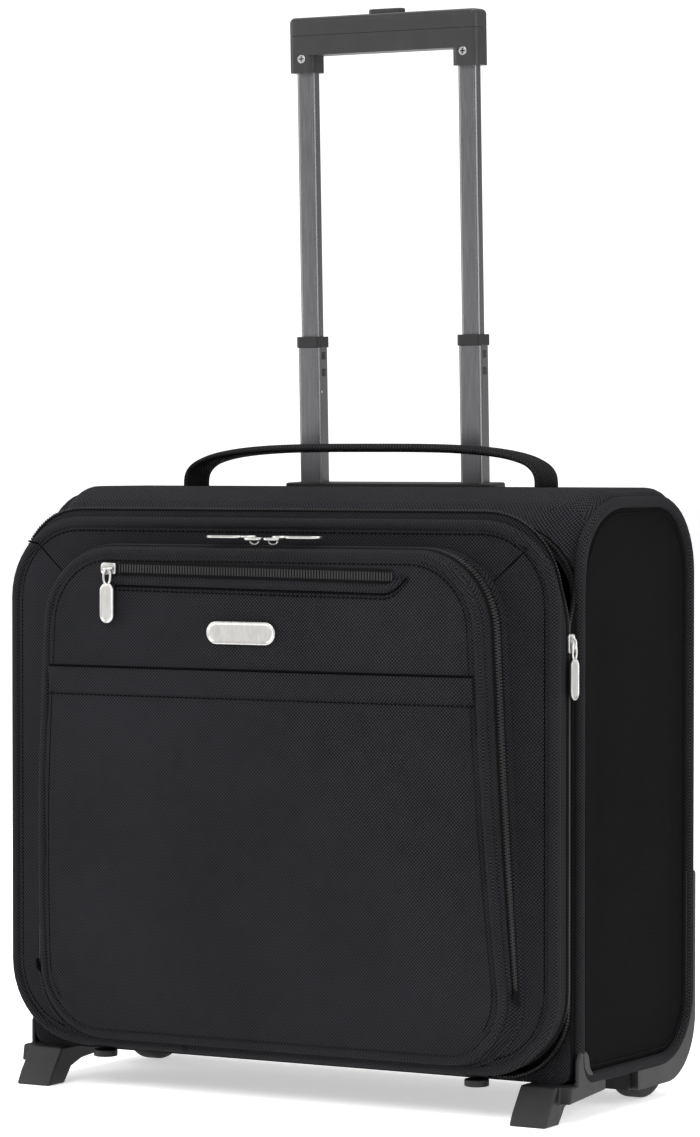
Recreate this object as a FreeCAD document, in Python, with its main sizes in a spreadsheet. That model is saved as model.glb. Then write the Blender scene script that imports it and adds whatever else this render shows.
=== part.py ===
"""Rolling laptop case: a soft upright case on two wheels with a two-stage pull handle.

Millimetres. +Z is up, the front faces -Y, and the origin is on the floor under the middle of the case.
Every driving dimension is a cell of the spreadsheet "sizes"; sketches, pads and boxes are bound to it.
The pull handle's pieces are drawn upright along their own tube line and leaned forward by their Placement.
"""
import FreeCAD, Part
import os
import Sketcher
from FreeCAD import Placement, Rotation, Vector

doc = FreeCAD.newDocument("rolling_laptop_case")
sheet = doc.addObject("Spreadsheet::Sheet", "sizes")

SIZES = {
    # soft shell
    "shell_side": 218, "shell_wall": 4, "shell_front": 66, "shell_back": 112, "shell_low": 26,
    "shell_top": 427, "shell_corner": 45, "mouth_half": 216.5, "mouth_top": 402, "mouth_corner": 55,
    "ridge_corner": 12, "shoulder_mid": 45, "shoulder_back": 5,
    # zip around the mouth
    "mouth_zip_front": 68.5, "mouth_zip_inner": 213.5, "mouth_zip_outer": 217, "mouth_zip_top": 403,
    "mouth_zip_low": 27,
    # front panel
    "panel_front": 92, "panel_rear": 84, "panel_half": 220, "panel_low": 31.5, "panel_top": 406,
    "panel_corner": 58, "piping": 8, "gusset_rear": 73, "gusset_half": 218, "zip_rear": 70.5,
    "open_level": 330, "curl_rear": 82, "strip_half": 160,
    # front pocket
    "pocket_low": 38, "pocket_top": 385, "pocket_half_low": 189, "pocket_half_top": 172,
    "pocket_front": 118, "pocket_toe": 97, "pocket_belly": 240, "pocket_corner": 52, "pocket_wall": 3,
    "pocket_slant": 9, "pocket_slant_top": 5, "pocket_piping": 7,
    "band_low": 283.5, "band_high": 300.5, "trim_thick": 1.4,
    "badge_x": 10, "badge_level": 327.5, "badge_half": 27.5, "badge_high": 16,
    # zip sliders and pulls
    "slider_level": 316, "slider_high": 15, "pull_long": 37, "pull_wide": 11, "pull_thick": 2,
    "flat_pull_level": 390.9, "flat_pull_y": 105, "small_slider_x": 118, "small_slider_level": 366,
    # inside
    "divider_front": 48, "divider_rear": 42, "divider_top": 330, "board_front": 101, "board_rear": 107,
    "board_half": 178, "board_top": 380,
    # pull handle, heights measured along the tubes from their foot
    "tube_foot_y": 90.25, "tube_foot_z": 30, "rake": 1.86, "tube_x": 66.5,
    "outer_half_x": 10.6, "outer_half_y": 8.7, "outer_bore_x": 9.3, "outer_bore_y": 7.4,
    "outer_low": 22, "outer_top": 388,
    "middle_half_x": 8.9, "middle_half_y": 7.1, "middle_bore_x": 7.7, "middle_bore_y": 5.9,
    "middle_low": 300, "middle_top": 502,
    "upper_half_x": 7.4, "upper_half_y": 4.9, "upper_bore_x": 6.0, "upper_bore_y": 3.5,
    "upper_low": 400, "upper_top": 712,
    "collar_half_x": 9.8, "collar_half_y": 8.1, "collar_low": 498, "collar_top": 506,
    "grip_low": 697, "grip_under": 709.5, "grip_part": 723.5, "grip_top": 737, "grip_half_x": 77.5,
    "grip_half_y": 10, "grip_leg_x": 57, "cavity_low": 714.5, "cavity_top": 731, "button_top": 740.5,
    "button_half_x": 14, "button_half_y": 4.6, "bridge_low": 720, "bridge_high": 724, "rod_half": 2,
    "bezel_half_x": 86, "bezel_half_y": 16, "bezel_low": 388, "bezel_top": 400,
    # carry handle
    "carry_half": 148, "carry_front": 22, "carry_rear": 54, "carry_low": 427.6, "carry_top": 458,
    "carry_thick": 9,
    # wheels and their guards
    "wheel_y": 70, "wheel_r": 34, "hub_r": 24, "axle_r": 4, "wheel_inner": 190, "wheel_outer": 209,
    "guard_front": 31, "guard_back": 122.4, "guard_low": 10.7, "guard_top": 156, "guard_corner": 45,
    "guard_inner": 184, "guard_outer": 219.5, "rim_wide": 15.4, "rim_high": 15.3, "well_roof": 70,
    "cheek": 4, "well_wall": 4,
    # front feet and base studs
    "foot_inner": 185, "foot_outer": 213, "foot_front": 95.5, "foot_heel": 75, "wing_inner": 218.3,
    "wing_outer": 221.5, "stud_x": 150, "stud_y": 75, "stud_r": 8.5,
}


def fill_sheet():
    """Write every driving dimension as a plain number with its word as the cell's alias."""
    for row, (word, value) in enumerate(SIZES.items(), start=1):
        sheet.set("A%d" % row, word)
        sheet.set("B%d" % row, str(value))
        sheet.setAlias("B%d" % row, word)
    doc.recompute()


class Dim:
    """A size with its value and its spreadsheet expression, so that both stay the same sum."""

    def __init__(self, text, value):
        self.text = text
        self.value = float(value)

    def __add__(self, other):
        other = as_dim(other)
        return Dim("(%s + %s)" % (self.text, other.text), self.value + other.value)

    def __sub__(self, other):
        other = as_dim(other)
        return Dim("(%s - %s)" % (self.text, other.text), self.value - other.value)

    def __mul__(self, factor):
        return Dim("(%s * %r)" % (self.text, factor), self.value * factor)

    def __rsub__(self, other):
        return as_dim(other) - self

    def __neg__(self):
        return Dim("(0 - %s)" % self.text, -self.value)


def as_dim(size):
    return size if isinstance(size, Dim) else Dim(repr(float(size)), size)


class Sizes:
    """sizes.word gives the cell of that alias as a Dim."""

    def __getattr__(self, word):
        return Dim("sizes.%s" % word, sheet.get(word))


fill_sheet()
D = Sizes()
nodes = {}

# Each origin plane's own directions: the sketch's x and y, and the way a pad grows.
PLANES = {"x": "YZ_Plane", "y": "XZ_Plane", "z": "XY_Plane"}


# ---------------------------------------------------------------- sketch helpers
def pin_x(sketch, edge, point, size):
    """Hold a point at a signed distance from the sketch's own vertical axis."""
    add_distance(sketch, "DistanceX", edge, point, size)


def pin_y(sketch, edge, point, size):
    """Hold a point at a signed distance from the sketch's own horizontal axis."""
    add_distance(sketch, "DistanceY", edge, point, size)


def add_distance(sketch, kind, edge, point, size):
    size = as_dim(size)
    if size.value < 0:
        bond = Sketcher.Constraint(kind, edge, point, -1, 1, -size.value)
        size = -size
    else:
        bond = Sketcher.Constraint(kind, -1, 1, edge, point, size.value)
    number = sketch.addConstraint(bond)
    sketch.setExpression("Constraints[%d]" % number, size.text)


def polygon_loop(sketch, points):
    """A closed outline of straight runs through the given corner points."""
    corners = [Vector(as_dim(a).value, as_dim(b).value, 0) for a, b in points]
    first = sketch.GeometryCount
    count = len(corners)
    for index, corner in enumerate(corners):
        sketch.addGeometry(Part.LineSegment(corner, corners[(index + 1) % count]), False)
    for index, (across, up) in enumerate(points):
        edge = first + index
        sketch.addConstraint(Sketcher.Constraint("Coincident", edge, 2, first + (index + 1) % count, 1))
        pin_x(sketch, edge, 1, across)
        pin_y(sketch, edge, 1, up)


def round_loop(sketch, left, right, low, high, radii):
    """A rectangle whose four corners are arcs; radii go low left, low right, high right, high left."""
    left, right, low, high = [as_dim(size) for size in (left, right, low, high)]
    radii = [as_dim(size) for size in radii]
    spots = [(left, low, 1, 1, 180), (right, low, -1, 1, 270),
             (right, high, -1, -1, 0), (left, high, 1, -1, 90)]
    arcs = []
    for (across, up, to_x, to_y, start), radius in zip(spots, radii):
        centre = Vector(across.value + to_x * radius.value, up.value + to_y * radius.value, 0)
        circle = Part.Circle(centre, Vector(0, 0, 1), radius.value)
        arcs.append(Part.ArcOfCircle(circle, radians(start), radians(start + 90)))
    first = sketch.GeometryCount
    for index, arc in enumerate(arcs):
        sketch.addGeometry(arc, False)
        sketch.addGeometry(Part.LineSegment(arc.EndPoint, arcs[(index + 1) % 4].StartPoint), False)
    for index in range(8):
        bond = Sketcher.Constraint("Tangent", first + index, 2, first + (index + 1) % 8, 1)
        sketch.addConstraint(bond)
    for index, kind in ((1, "Horizontal"), (3, "Vertical"), (5, "Horizontal"), (7, "Vertical")):
        sketch.addConstraint(Sketcher.Constraint(kind, first + index))
    for index, radius in enumerate(radii):
        number = sketch.addConstraint(Sketcher.Constraint("Radius", first + 2 * index, radius.value))
        sketch.setExpression("Constraints[%d]" % number, radius.text)
    pin_y(sketch, first + 1, 1, low)
    pin_x(sketch, first + 3, 1, right)
    pin_y(sketch, first + 5, 1, high)
    pin_x(sketch, first + 7, 1, left)


def circle_loop(sketch, across, up, radius):
    across, up, radius = [as_dim(size) for size in (across, up, radius)]
    centre = Vector(across.value, up.value, 0)
    edge = sketch.addGeometry(Part.Circle(centre, Vector(0, 0, 1), radius.value), False)
    number = sketch.addConstraint(Sketcher.Constraint("Radius", edge, radius.value))
    sketch.setExpression("Constraints[%d]" % number, radius.text)
    pin_x(sketch, edge, 3, across)
    pin_y(sketch, edge, 3, up)


def radians(degrees):
    return FreeCAD.Units.Quantity("%r deg" % float(degrees)).getValueAs("rad").Value


def capsule(left, right, low, high):
    """A round_loop whose ends are half circles."""
    radius = (high - low) * 0.4999
    return (round_loop, left, right, low, high, [radius] * 4)


def oblong(half_across, half_up, radius, centre=0, middle=0):
    """A round_loop centred on a point, with the same radius at each corner."""
    centre = as_dim(centre)
    middle = as_dim(middle)
    half_across = as_dim(half_across)
    half_up = as_dim(half_up)
    return (round_loop, centre - half_across, centre + half_across, middle - half_up, middle + half_up,
            [radius] * 4)


# ---------------------------------------------------------------- solid helpers
def draw(body, way, offset, loops):
    """Draw loops on the body's own origin plane across the given way, moved along its normal."""
    plane = [item for item in body.Origin.OriginFeatures if item.Role == PLANES[way]][0]
    sketch = body.newObject("Sketcher::SketchObject", body.Name + "_sketch")
    sketch.AttachmentSupport = (plane, [""])
    sketch.MapMode = "FlatFace"
    sketch.setExpression("AttachmentOffset.Base.z", as_dim(offset).text)
    for loop in loops:
        loop[0](sketch, *loop[1:])
    return sketch


def pad(name, way, low, high, *loops):
    """A PartDesign body: loops drawn across one row axis and padded from low to high along it."""
    low = as_dim(low)
    high = as_dim(high)
    body = doc.addObject("PartDesign::Body", name)
    start = -high if way == "y" else low
    sketch = draw(body, way, start, loops)
    feature = body.newObject("PartDesign::Pad", name + "_pad")
    feature.Profile = sketch
    feature.setExpression("Length", (high - low).text)
    return body


def revolve(name, loops):
    """A PartDesign body turned all round the sketch's horizontal axis, drawn on the YX plane of the axle."""
    body = doc.addObject("PartDesign::Body", name)
    sketch = draw(body, "z", 0, loops)
    feature = body.newObject("PartDesign::Revolution", name + "_turn")
    feature.Profile = sketch
    feature.ReferenceAxis = (sketch, ["H_Axis"])
    feature.Angle = 360
    return body


def loft(name, way, stations):
    """A PartDesign body lofted straight through (position, loop) stations along one row axis."""
    body = doc.addObject("PartDesign::Body", name)
    sketches = [draw(body, way, -as_dim(spot) if way == "y" else spot, [loop]) for spot, loop in stations]
    feature = body.newObject("PartDesign::AdditiveLoft", name + "_loft")
    feature.Profile = sketches[0]
    feature.Sections = sketches[1:]
    feature.Ruled = True
    doc.recompute()
    return body


def solved(body):
    """The body's shape once everything it rests on is up to date."""
    doc.recompute()
    return body.Shape


def edges_along(shape, way, wanted=lambda middle: True):
    """Names of the straight edges that run along one row axis and whose middle is wanted."""
    unit = {"x": Vector(1, 0, 0), "y": Vector(0, 1, 0), "z": Vector(0, 0, 1)}[way]
    names = []
    for number, edge in enumerate(shape.Edges, start=1):
        run = edge.Vertexes[-1].Point - edge.Vertexes[0].Point
        if run.Length > 0.01 and abs(run.normalize().dot(unit)) > 0.9:
            if wanted(edge.CenterOfMass):
                names.append("Edge%d" % number)
    return names


def round_edges(body, names, radius):
    """Fillet a body's named edges; the caller reads the names from a shape that is up to date."""
    base = body.Tip
    feature = body.newObject("PartDesign::Fillet", body.Name + "_fillet")
    feature.Base = (base, names)
    feature.setExpression("Radius", as_dim(radius).text)
    doc.recompute()
    return body


def box(name, x_span, y_span, z_span):
    """A Part::Box between two corners."""
    solid = doc.addObject("Part::Box", name)
    for way, side, span in zip("xyz", ("Length", "Width", "Height"), (x_span, y_span, z_span)):
        low, high = [as_dim(size) for size in span]
        solid.setExpression(side, (high - low).text)
        solid.setExpression("Placement.Base.%s" % way, low.text)
    return solid


def cylinder(name, way, radius, start, length):
    """A Part::Cylinder along a row axis from its start point."""
    solid = doc.addObject("Part::Cylinder", name)
    turn = {"x": Rotation(Vector(0, 1, 0), 90), "y": Rotation(Vector(1, 0, 0), -90), "z": Rotation()}[way]
    solid.Placement = Placement(Vector(0, 0, 0), turn)
    solid.setExpression("Radius", as_dim(radius).text)
    solid.setExpression("Height", as_dim(length).text)
    for axis, size in zip("xyz", start):
        solid.setExpression("Placement.Base.%s" % axis, as_dim(size).text)
    return solid


def cut(name, base, tool):
    solid = doc.addObject("Part::Cut", name)
    solid.Base = base
    solid.Tool = tool
    return solid


def common(name, first, second):
    solid = doc.addObject("Part::Common", name)
    solid.Base = first
    solid.Tool = second
    return solid


def join(name, *solids):
    solid = doc.addObject("Part::MultiFuse", name)
    solid.Shapes = list(solids)
    solid.Refine = True
    return solid


def group(name, *solids):
    """Several separate solids of one kind kept in one node."""
    solid = doc.addObject("Part::Compound", name)
    solid.Links = list(solids)
    return solid


def node(name, solid):
    """Give a finished sub-part its label, which is its file's name."""
    solid.Label = name
    nodes[name] = solid
    return solid


def lean(solid):
    """Stand a pull-handle piece on the tube line's foot and lean it forward."""
    turn = Rotation(Vector(1, 0, 0), D.rake.value)
    solid.Placement = Placement(Vector(0, D.tube_foot_y.value, D.tube_foot_z.value), turn)
    return solid


SIDES = {"left": -1, "right": 1}


def span(side, inner, outer):
    """The row's low and high x of a stretch that lies on one side of the case."""
    if SIDES[side] > 0:
        return as_dim(inner), as_dim(outer)
    return -as_dim(outer), -as_dim(inner)


# ---------------------------------------------------------------- soft shell
def shell_station(inset, spot, half, top, corner):
    """One upright section of the shell; the inner skin is the same section pulled in by the wall."""
    corner = as_dim(corner)
    low_round = as_dim(10) - inset
    high_round = corner - inset
    loop = (round_loop, inset - half, half - inset, D.shell_low + inset, top - inset,
            [low_round, low_round, high_round, high_round])
    return spot, loop


def shell_skin(name, inset):
    """The shell from its mouth back: low rounded shoulders at the mouth rising to a square ridge."""
    inset = as_dim(inset)
    rise = D.shell_top - D.mouth_top
    reach = as_dim(0) if inset.value == 0 else as_dim(6)
    stations = [
        shell_station(inset, -D.shell_front - reach, D.mouth_half, D.mouth_top, D.mouth_corner),
        shell_station(inset, -D.shoulder_mid, D.shell_side, D.mouth_top + rise * 0.55, D.mouth_corner * 0.72),
        shell_station(inset, -D.shoulder_mid * 0.4, D.shell_side, D.mouth_top + rise * 0.85,
                      D.mouth_corner * 0.45),
        shell_station(inset, D.shoulder_back, D.shell_side, D.shell_top, D.ridge_corner),
        shell_station(inset, D.shell_back, D.shell_side, D.shell_top, D.ridge_corner),
    ]
    skin = loft(name + "_loft", "y", stations)
    round_back = D.shell_corner - inset
    side_view = pad(name + "_side_view", "x", -D.shell_side - 10, D.shell_side + 10,
                    (round_loop, -D.shell_front - 200, D.shell_back - inset, D.shell_low + inset,
                     D.shell_top - inset, [round_back] * 4))
    return common(name, side_view, skin)


def guard_outline(name, side, grow):
    """The corner guard's side outline minus the fabric's own rounded corner."""
    low, high = span(side, D.guard_inner - grow, D.guard_outer)
    small = as_dim(3)
    outer = pad(name + "_outer", "x", low, high,
                (round_loop, D.guard_front, D.guard_back, D.guard_low, D.guard_top,
                 [small, D.guard_corner, small, small]))
    round_in = D.guard_corner - D.rim_wide
    inner = pad(name + "_inner", "x", low - 1, high + 1,
                (round_loop, D.guard_front - 90, D.guard_back - D.rim_wide, D.guard_low + D.rim_high,
                 D.guard_top + 60, [round_in] * 4))
    return cut(name, outer, inner)


def well_block(name, side):
    """The block of space that a wheel well takes out of the case's corner."""
    low, high = span(side, D.guard_inner, D.shell_side - D.shell_wall)
    return box(name, (low, high), (D.guard_front - D.well_wall, D.guard_back - 1),
               (D.guard_low, D.well_roof + D.well_wall))


def build_shell():
    hollow = cut("shell_hollow", shell_skin("shell_outer", 0), shell_skin("shell_inner", D.shell_wall))
    guards = join("guard_spaces", *[guard_outline("rim_space_" + side, side, 0) for side in SIDES],
                  *[well_block("well_space_" + side, side) for side in SIDES])
    cloth = cut("shell_cloth", hollow, guards)
    inside = D.shell_side - D.shell_wall
    corner_top = D.shell_top - D.shell_corner
    corner_low = D.shell_low + D.shell_corner
    front = -D.shell_front - 1
    rear = D.shell_back + 1
    for side in SIDES:
        region = box("side_region_" + side, span(side, inside, D.shell_side + 1), (front, rear), (0, 440))
        node("side_panel_" + side, common("side_panel_%s_cloth" % side, cloth, region))
    top = box("top_region", (-inside, inside), (front, rear), (corner_top, 440))
    bezel = box("bezel_space", (-D.bezel_half_x - 0.5, D.bezel_half_x + 0.5),
                (D.tube_foot_y - D.bezel_half_y - 14, D.tube_foot_y + D.bezel_half_y - 11), (410, 440))
    node("top_panel", cut("top_panel_cloth", common("top_panel_blank", cloth, top), bezel))
    base = box("base_region", (-inside, inside), (front, rear), (0, corner_low))
    blank = common("base_blank", cloth, base)
    strip = box("hinge_strip", (-D.strip_half, D.strip_half),
                (0.3 - D.panel_rear, D.shell_wall - D.shell_front), (D.mouth_zip_low, D.panel_low - 0.5))
    zip_gap = box("strip_zip_gap", (-D.strip_half - 1, D.strip_half + 1),
                  (-D.mouth_zip_front, -D.shell_front), (D.mouth_zip_low - 1, D.panel_low))
    node("bottom_panel", join("bottom_panel_cloth", blank, strip))
    back = box("back_region", (-inside, inside), (0, rear), (corner_low, corner_top))
    node("back_panel", common("back_panel_cloth", cloth, back))
    ring = pad("mouth_zip_ring", "y", -D.mouth_zip_front, -D.shell_front,
               (round_loop, -D.mouth_zip_outer, D.mouth_zip_outer, D.mouth_zip_low, D.mouth_zip_top,
                [D.mouth_corner] * 4),
               (round_loop, -D.mouth_zip_inner, D.mouth_zip_inner,
                D.mouth_zip_low + 3.5, D.mouth_zip_top - 3.5, [D.mouth_corner - 3.5] * 4))
    node("mouth_zip", cut("mouth_zip_tape", ring, zip_gap))


def build_inside():
    inside = D.shell_side - D.shell_wall
    node("laptop_divider", pad("divider", "y", -D.divider_front, -D.divider_rear,
                               (round_loop, 0.3 - inside, inside - 0.3, D.shell_low + D.shell_wall,
                                D.divider_top, [8, 8, 20, 20])))
    node("back_board", pad("board", "y", D.board_front, D.board_rear,
                           (round_loop, -D.board_half, D.board_half, D.shell_low + D.shell_corner,
                            D.board_top, [12] * 4)))


# ---------------------------------------------------------------- front panel
def panel_ring(name, y_low, y_high, half, low, top, corner, wall):
    """A rounded frame of the front panel's own outline."""
    return pad(name, "y", y_low, y_high,
               (round_loop, -half, half, low, top, [corner] * 4),
               (round_loop, wall - half, half - wall, low + wall, top - wall, [corner - wall] * 4))


def build_panel():
    front = -D.panel_front
    rear = -D.panel_rear
    cord = panel_ring("panel_cord", front, rear, D.panel_half, D.panel_low, D.panel_top, D.panel_corner,
                      as_dim(D.piping))
    node("panel_piping", round_edges(cord, all_edges(solved(cord)), 2.6))
    node("front_panel", pad("panel_cloth", "y", front + 1, rear,
                            (round_loop, D.piping - D.panel_half, D.panel_half - D.piping,
                             D.panel_low + D.piping, D.panel_top - D.piping,
                             [D.panel_corner - D.piping] * 4)))
    wide = D.panel_half + 5
    above = box("above_sliders", (-wide, wide), (-D.curl_rear, -D.gusset_rear + 5), (D.open_level, 420))
    foot = box("fold_line", (-D.strip_half - 5, D.strip_half + 5), (rear, -D.zip_rear + 1), (25, 45))
    gusset = panel_ring("gusset_ring", rear, -D.gusset_rear, D.gusset_half, D.panel_low + 2,
                        D.panel_top - 2, D.panel_corner - 2, as_dim(4))
    node("panel_gusset", cut("gusset_cut", gusset, join("gusset_gaps", above, foot)))
    low_tape = panel_ring("low_tape", -D.gusset_rear, -D.zip_rear, D.gusset_half - 0.5, D.panel_low + 2.5,
                          D.panel_top - 2.5, D.panel_corner - 2.5, as_dim(3.5))
    over = box("tape_over", (-wide, wide), (-D.gusset_rear - 1, -D.zip_rear + 1), (D.open_level + 4, 420))
    tape_foot = box("tape_foot", (-wide, wide), (-D.gusset_rear - 1, -D.zip_rear + 1), (25, 60))
    high_tape = panel_ring("high_tape", -D.curl_rear, -D.curl_rear + 2, D.gusset_half - 0.5,
                           D.panel_low + 2.5, D.panel_top - 2.5, D.panel_corner - 2.5, as_dim(3.5))
    under = box("tape_under", (-wide, wide), (-D.curl_rear - 1, -D.gusset_rear), (25, D.open_level))
    turns = [box("tape_turn_" + side, span(side, D.gusset_half - 4, D.gusset_half - 0.5),
                 (-D.curl_rear + 1, -D.gusset_rear + 0.5), (D.open_level, D.open_level + 4))
             for side in SIDES]
    node("panel_zip", join("panel_zip_tape", cut("low_tape_cut", low_tape, join("low_gaps", over, tape_foot)),
                           cut("high_tape_cut", high_tape, under), *turns))


def all_edges(shape):
    return ["Edge%d" % number for number in range(1, len(shape.Edges) + 1)]


# ---------------------------------------------------------------- front pocket
def pocket_outline(grow_low, grow_top, inset):
    """The pocket's outline: wider at its foot than at its top, with square corners for a later fillet."""
    low = D.pocket_low - grow_low * 0.3 + inset
    top = D.pocket_top + grow_top - inset
    half_low = D.pocket_half_low + grow_low - inset
    half_top = D.pocket_half_top + grow_low - inset
    return (polygon_loop, [(-half_low, low), (half_low, low), (half_top, top), (-half_top, top)])


def pocket_block(name, inset, slanted):
    """The pocket's volume from the panel forward, pulled in by an inset."""
    inset = as_dim(inset)
    front = as_dim(-130)
    grow = D.pocket_slant if slanted else as_dim(0)
    grow_top = D.pocket_slant_top if slanted else as_dim(0)
    zero = as_dim(0)
    body = loft(name, "y", [(-D.panel_front, pocket_outline(grow, grow_top, inset)),
                            (front, pocket_outline(zero, zero, inset))])
    corners = edges_along(solved(body), "y")
    return round_edges(body, corners, D.pocket_corner - inset)


def pocket_slab(name, behind, ahead):
    """A slab that follows the pocket's bellied front between two depths behind its face."""
    ahead = as_dim(ahead)
    line = [(D.pocket_toe, as_dim(20)), (D.pocket_toe + 11, D.pocket_belly * 0.42),
            (D.pocket_front - 3, D.pocket_belly * 0.75), (D.pocket_front, D.pocket_belly + 30),
            (D.pocket_front, as_dim(400))]
    face = [(ahead - depth, level) for depth, level in line]
    if behind is None:
        back = [(-D.panel_front, as_dim(400)), (-D.panel_front, as_dim(20))]
    else:
        back = [(as_dim(behind) - depth, level) for depth, level in reversed(line)]
    return pad(name, "x", -220, 220, (polygon_loop, face + back))


def build_pocket():
    wall = D.pocket_wall
    cord = D.pocket_piping
    face_slab = pocket_slab("face_slab", wall, as_dim(0))
    node("pocket_front", common("pocket_face", pocket_block("face_block", cord, False), face_slab))
    rim = cut("pocket_rim", pocket_block("rim_block", 0, False), pocket_block("rim_hole", cord, False))
    node("pocket_piping", common("pocket_cord", rim, pocket_slab("cord_slab", cord, as_dim(0))))
    sleeve = cut("pocket_sleeve", pocket_block("sleeve_block", 0.5, True),
                 pocket_block("sleeve_hole", wall + 0.5, True))
    node("pocket_gusset", common("pocket_gusset_wall", sleeve, pocket_slab("gusset_slab", None, cord)))
    front = -D.pocket_front
    node("pocket_band", pad("band", "y", front - D.trim_thick, front,
                            (round_loop, 2 - D.pocket_half_top, D.pocket_half_top - 2,
                             D.band_low, D.band_high, [2] * 4)))
    node("badge", pad("badge_plate", "y", front - 2, front,
                      capsule(-D.badge_x - D.badge_half, D.badge_half - D.badge_x,
                              D.badge_level - D.badge_high * 0.5, D.badge_level + D.badge_high * 0.5)))


# ---------------------------------------------------------------- zip sliders and pulls
def build_main_slider(side):
    """A slider that straddles the zip at the case's side: an outer and an inner plate on a thin neck."""
    low = D.slider_level
    high = D.slider_level + D.slider_high
    middle = (D.mouth_zip_front + D.zip_rear) * -0.5
    outer = pad("main_slider_plate_" + side, "x", *span(side, D.gusset_half + 0.1, D.gusset_half + 1.8),
                (round_loop, middle - 5.5, middle + 5.5, low, high, [2, 2, 4, 4]))
    neck = box("main_slider_neck_" + side, span(side, D.mouth_zip_inner - 1.2, D.gusset_half + 0.2),
               (middle - 0.6, middle + 0.6), (high - 5, high - 1))
    inner = pad("main_slider_inner_" + side, "x", *span(side, D.mouth_zip_inner - 2.8, D.mouth_zip_inner - 1),
                (round_loop, middle - 5, middle + 5, low, high, [2, 2, 4, 4]))
    node("main_slider_" + side, join("main_slider_%s_solid" % side, outer, neck, inner))
    hang = as_dim(high) - 5
    pull = pad("main_pull_plate_" + side, "x",
               *span(side, D.gusset_half + 2.1, D.gusset_half + 2.1 + D.pull_thick),
               capsule_upright(middle, D.pull_wide, hang - D.pull_long, hang),
               (circle_loop, middle, hang - 5, 2))
    node("main_pull_" + side, pull)


def capsule_upright(middle, wide, low, high):
    radius = as_dim(wide) * 0.4999
    return (round_loop, middle - wide * 0.5, middle + wide * 0.5, low, high, [radius] * 4)


def build_pocket_slider(side):
    """A slider on the pocket's top gusset with its pull lying flat, pointing away from the middle."""
    level = D.flat_pull_level
    depth = -D.flat_pull_y
    node("pocket_slider_" + side,
         pad("pocket_slider_block_" + side, "z", level - 1.4, level + 1.4,
             (round_loop, *span(side, as_dim(2), as_dim(13)), depth - 4.5, depth + 4.5, [2] * 4)))
    pull = pad("pocket_pull_plate_" + side, "z", level + 1.7, level + 3.2,
               (round_loop, *span(side, as_dim(5), D.pull_long + 5), depth - 4, depth + 4, [3.99] * 4),
               (circle_loop, as_dim(9.5 * SIDES[side]), depth, 1.8))
    node("pocket_pull_" + side, pull)


def build_small_slider():
    """The small pocket's slider, parked at the left end with its pull hanging down."""
    front = -D.pocket_front
    low = D.small_slider_level
    x_low = -D.small_slider_x - 6
    x_high = 6 - D.small_slider_x
    node("small_slider", pad("small_slider_block", "y", front - 2.5, front - 0.3,
                             (round_loop, x_low, x_high, low, low + 9, [2] * 4)))
    hang = low + 7
    node("small_pull", pad("small_pull_plate", "y", front - 4.4, front - 2.8,
                           capsule_upright(-D.small_slider_x, D.pull_wide, hang - D.pull_long, hang),
                           (circle_loop, -D.small_slider_x, hang - 5, 2)))


# ---------------------------------------------------------------- pull handle
def tube(name, side, low, high, half_x, half_y, bore_x, bore_y):
    """A rounded rectangular tube standing on one side of the pull handle."""
    centre = D.tube_x * SIDES[side]
    return lean(pad(name, "z", low, high, oblong(half_x, half_y, 2.6, centre),
                    oblong(bore_x, bore_y, 1.6, centre)))


def build_fixed_tubes():
    for side in SIDES:
        node("outer_tube_" + side, tube("outer_tube_pad_" + side, side, D.outer_low, D.outer_top,
                                        D.outer_half_x, D.outer_half_y, D.outer_bore_x, D.outer_bore_y))
    node("trolley_bracket", lean(pad("bracket", "z", D.outer_low - 4, D.outer_low,
                                     oblong(D.tube_x + 22, 8, 4))))
    holes = [oblong(D.outer_bore_x, D.outer_bore_y, 1.6, D.tube_x * sign) for sign in SIDES.values()]
    bezel = pad("bezel", "z", D.bezel_low, D.bezel_top, oblong(D.bezel_half_x, D.bezel_half_y, 10), *holes)
    top = edges_at(solved(bezel), D.bezel_top.value)
    node("trolley_bezel", lean(round_edges(bezel, top, 1.5)))


def edges_at(shape, level):
    """Names of the edges that lie flat at one height."""
    return ["Edge%d" % number for number, edge in enumerate(shape.Edges, start=1)
            if abs(edge.BoundBox.ZMin - level) < 0.01 and abs(edge.BoundBox.ZMax - level) < 0.01]


def build_middle_stage():
    bushes = []
    for side in SIDES:
        centre = D.tube_x * SIDES[side]
        node("middle_tube_" + side, tube("middle_tube_pad_" + side, side, D.middle_low, D.middle_top,
                                         D.middle_half_x, D.middle_half_y, D.middle_bore_x, D.middle_bore_y))
        sleeve = pad("collar_sleeve_" + side, "z", D.collar_low, D.middle_top,
                     oblong(D.collar_half_x, D.collar_half_y, 3, centre),
                     oblong(D.middle_half_x, D.middle_half_y, 2.6, centre))
        cap = pad("collar_cap_" + side, "z", D.middle_top, D.collar_top,
                  oblong(D.collar_half_x, D.collar_half_y, 3, centre),
                  oblong(D.upper_half_x + 0.3, D.upper_half_y + 0.4, 2.6, centre))
        node("middle_collar_" + side, lean(join("middle_collar_%s_solid" % side, sleeve, cap)))
        bushes.append(pad("middle_bush_" + side, "z", D.middle_low - 8, D.middle_low,
                          oblong(D.outer_bore_x - 0.3, D.outer_bore_y - 0.3, 1.5, centre),
                          oblong(D.middle_bore_x, D.middle_bore_y, 1.6, centre)))
    node("middle_guide_bushes", lean(group("middle_guide_pair", *bushes)))


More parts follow.
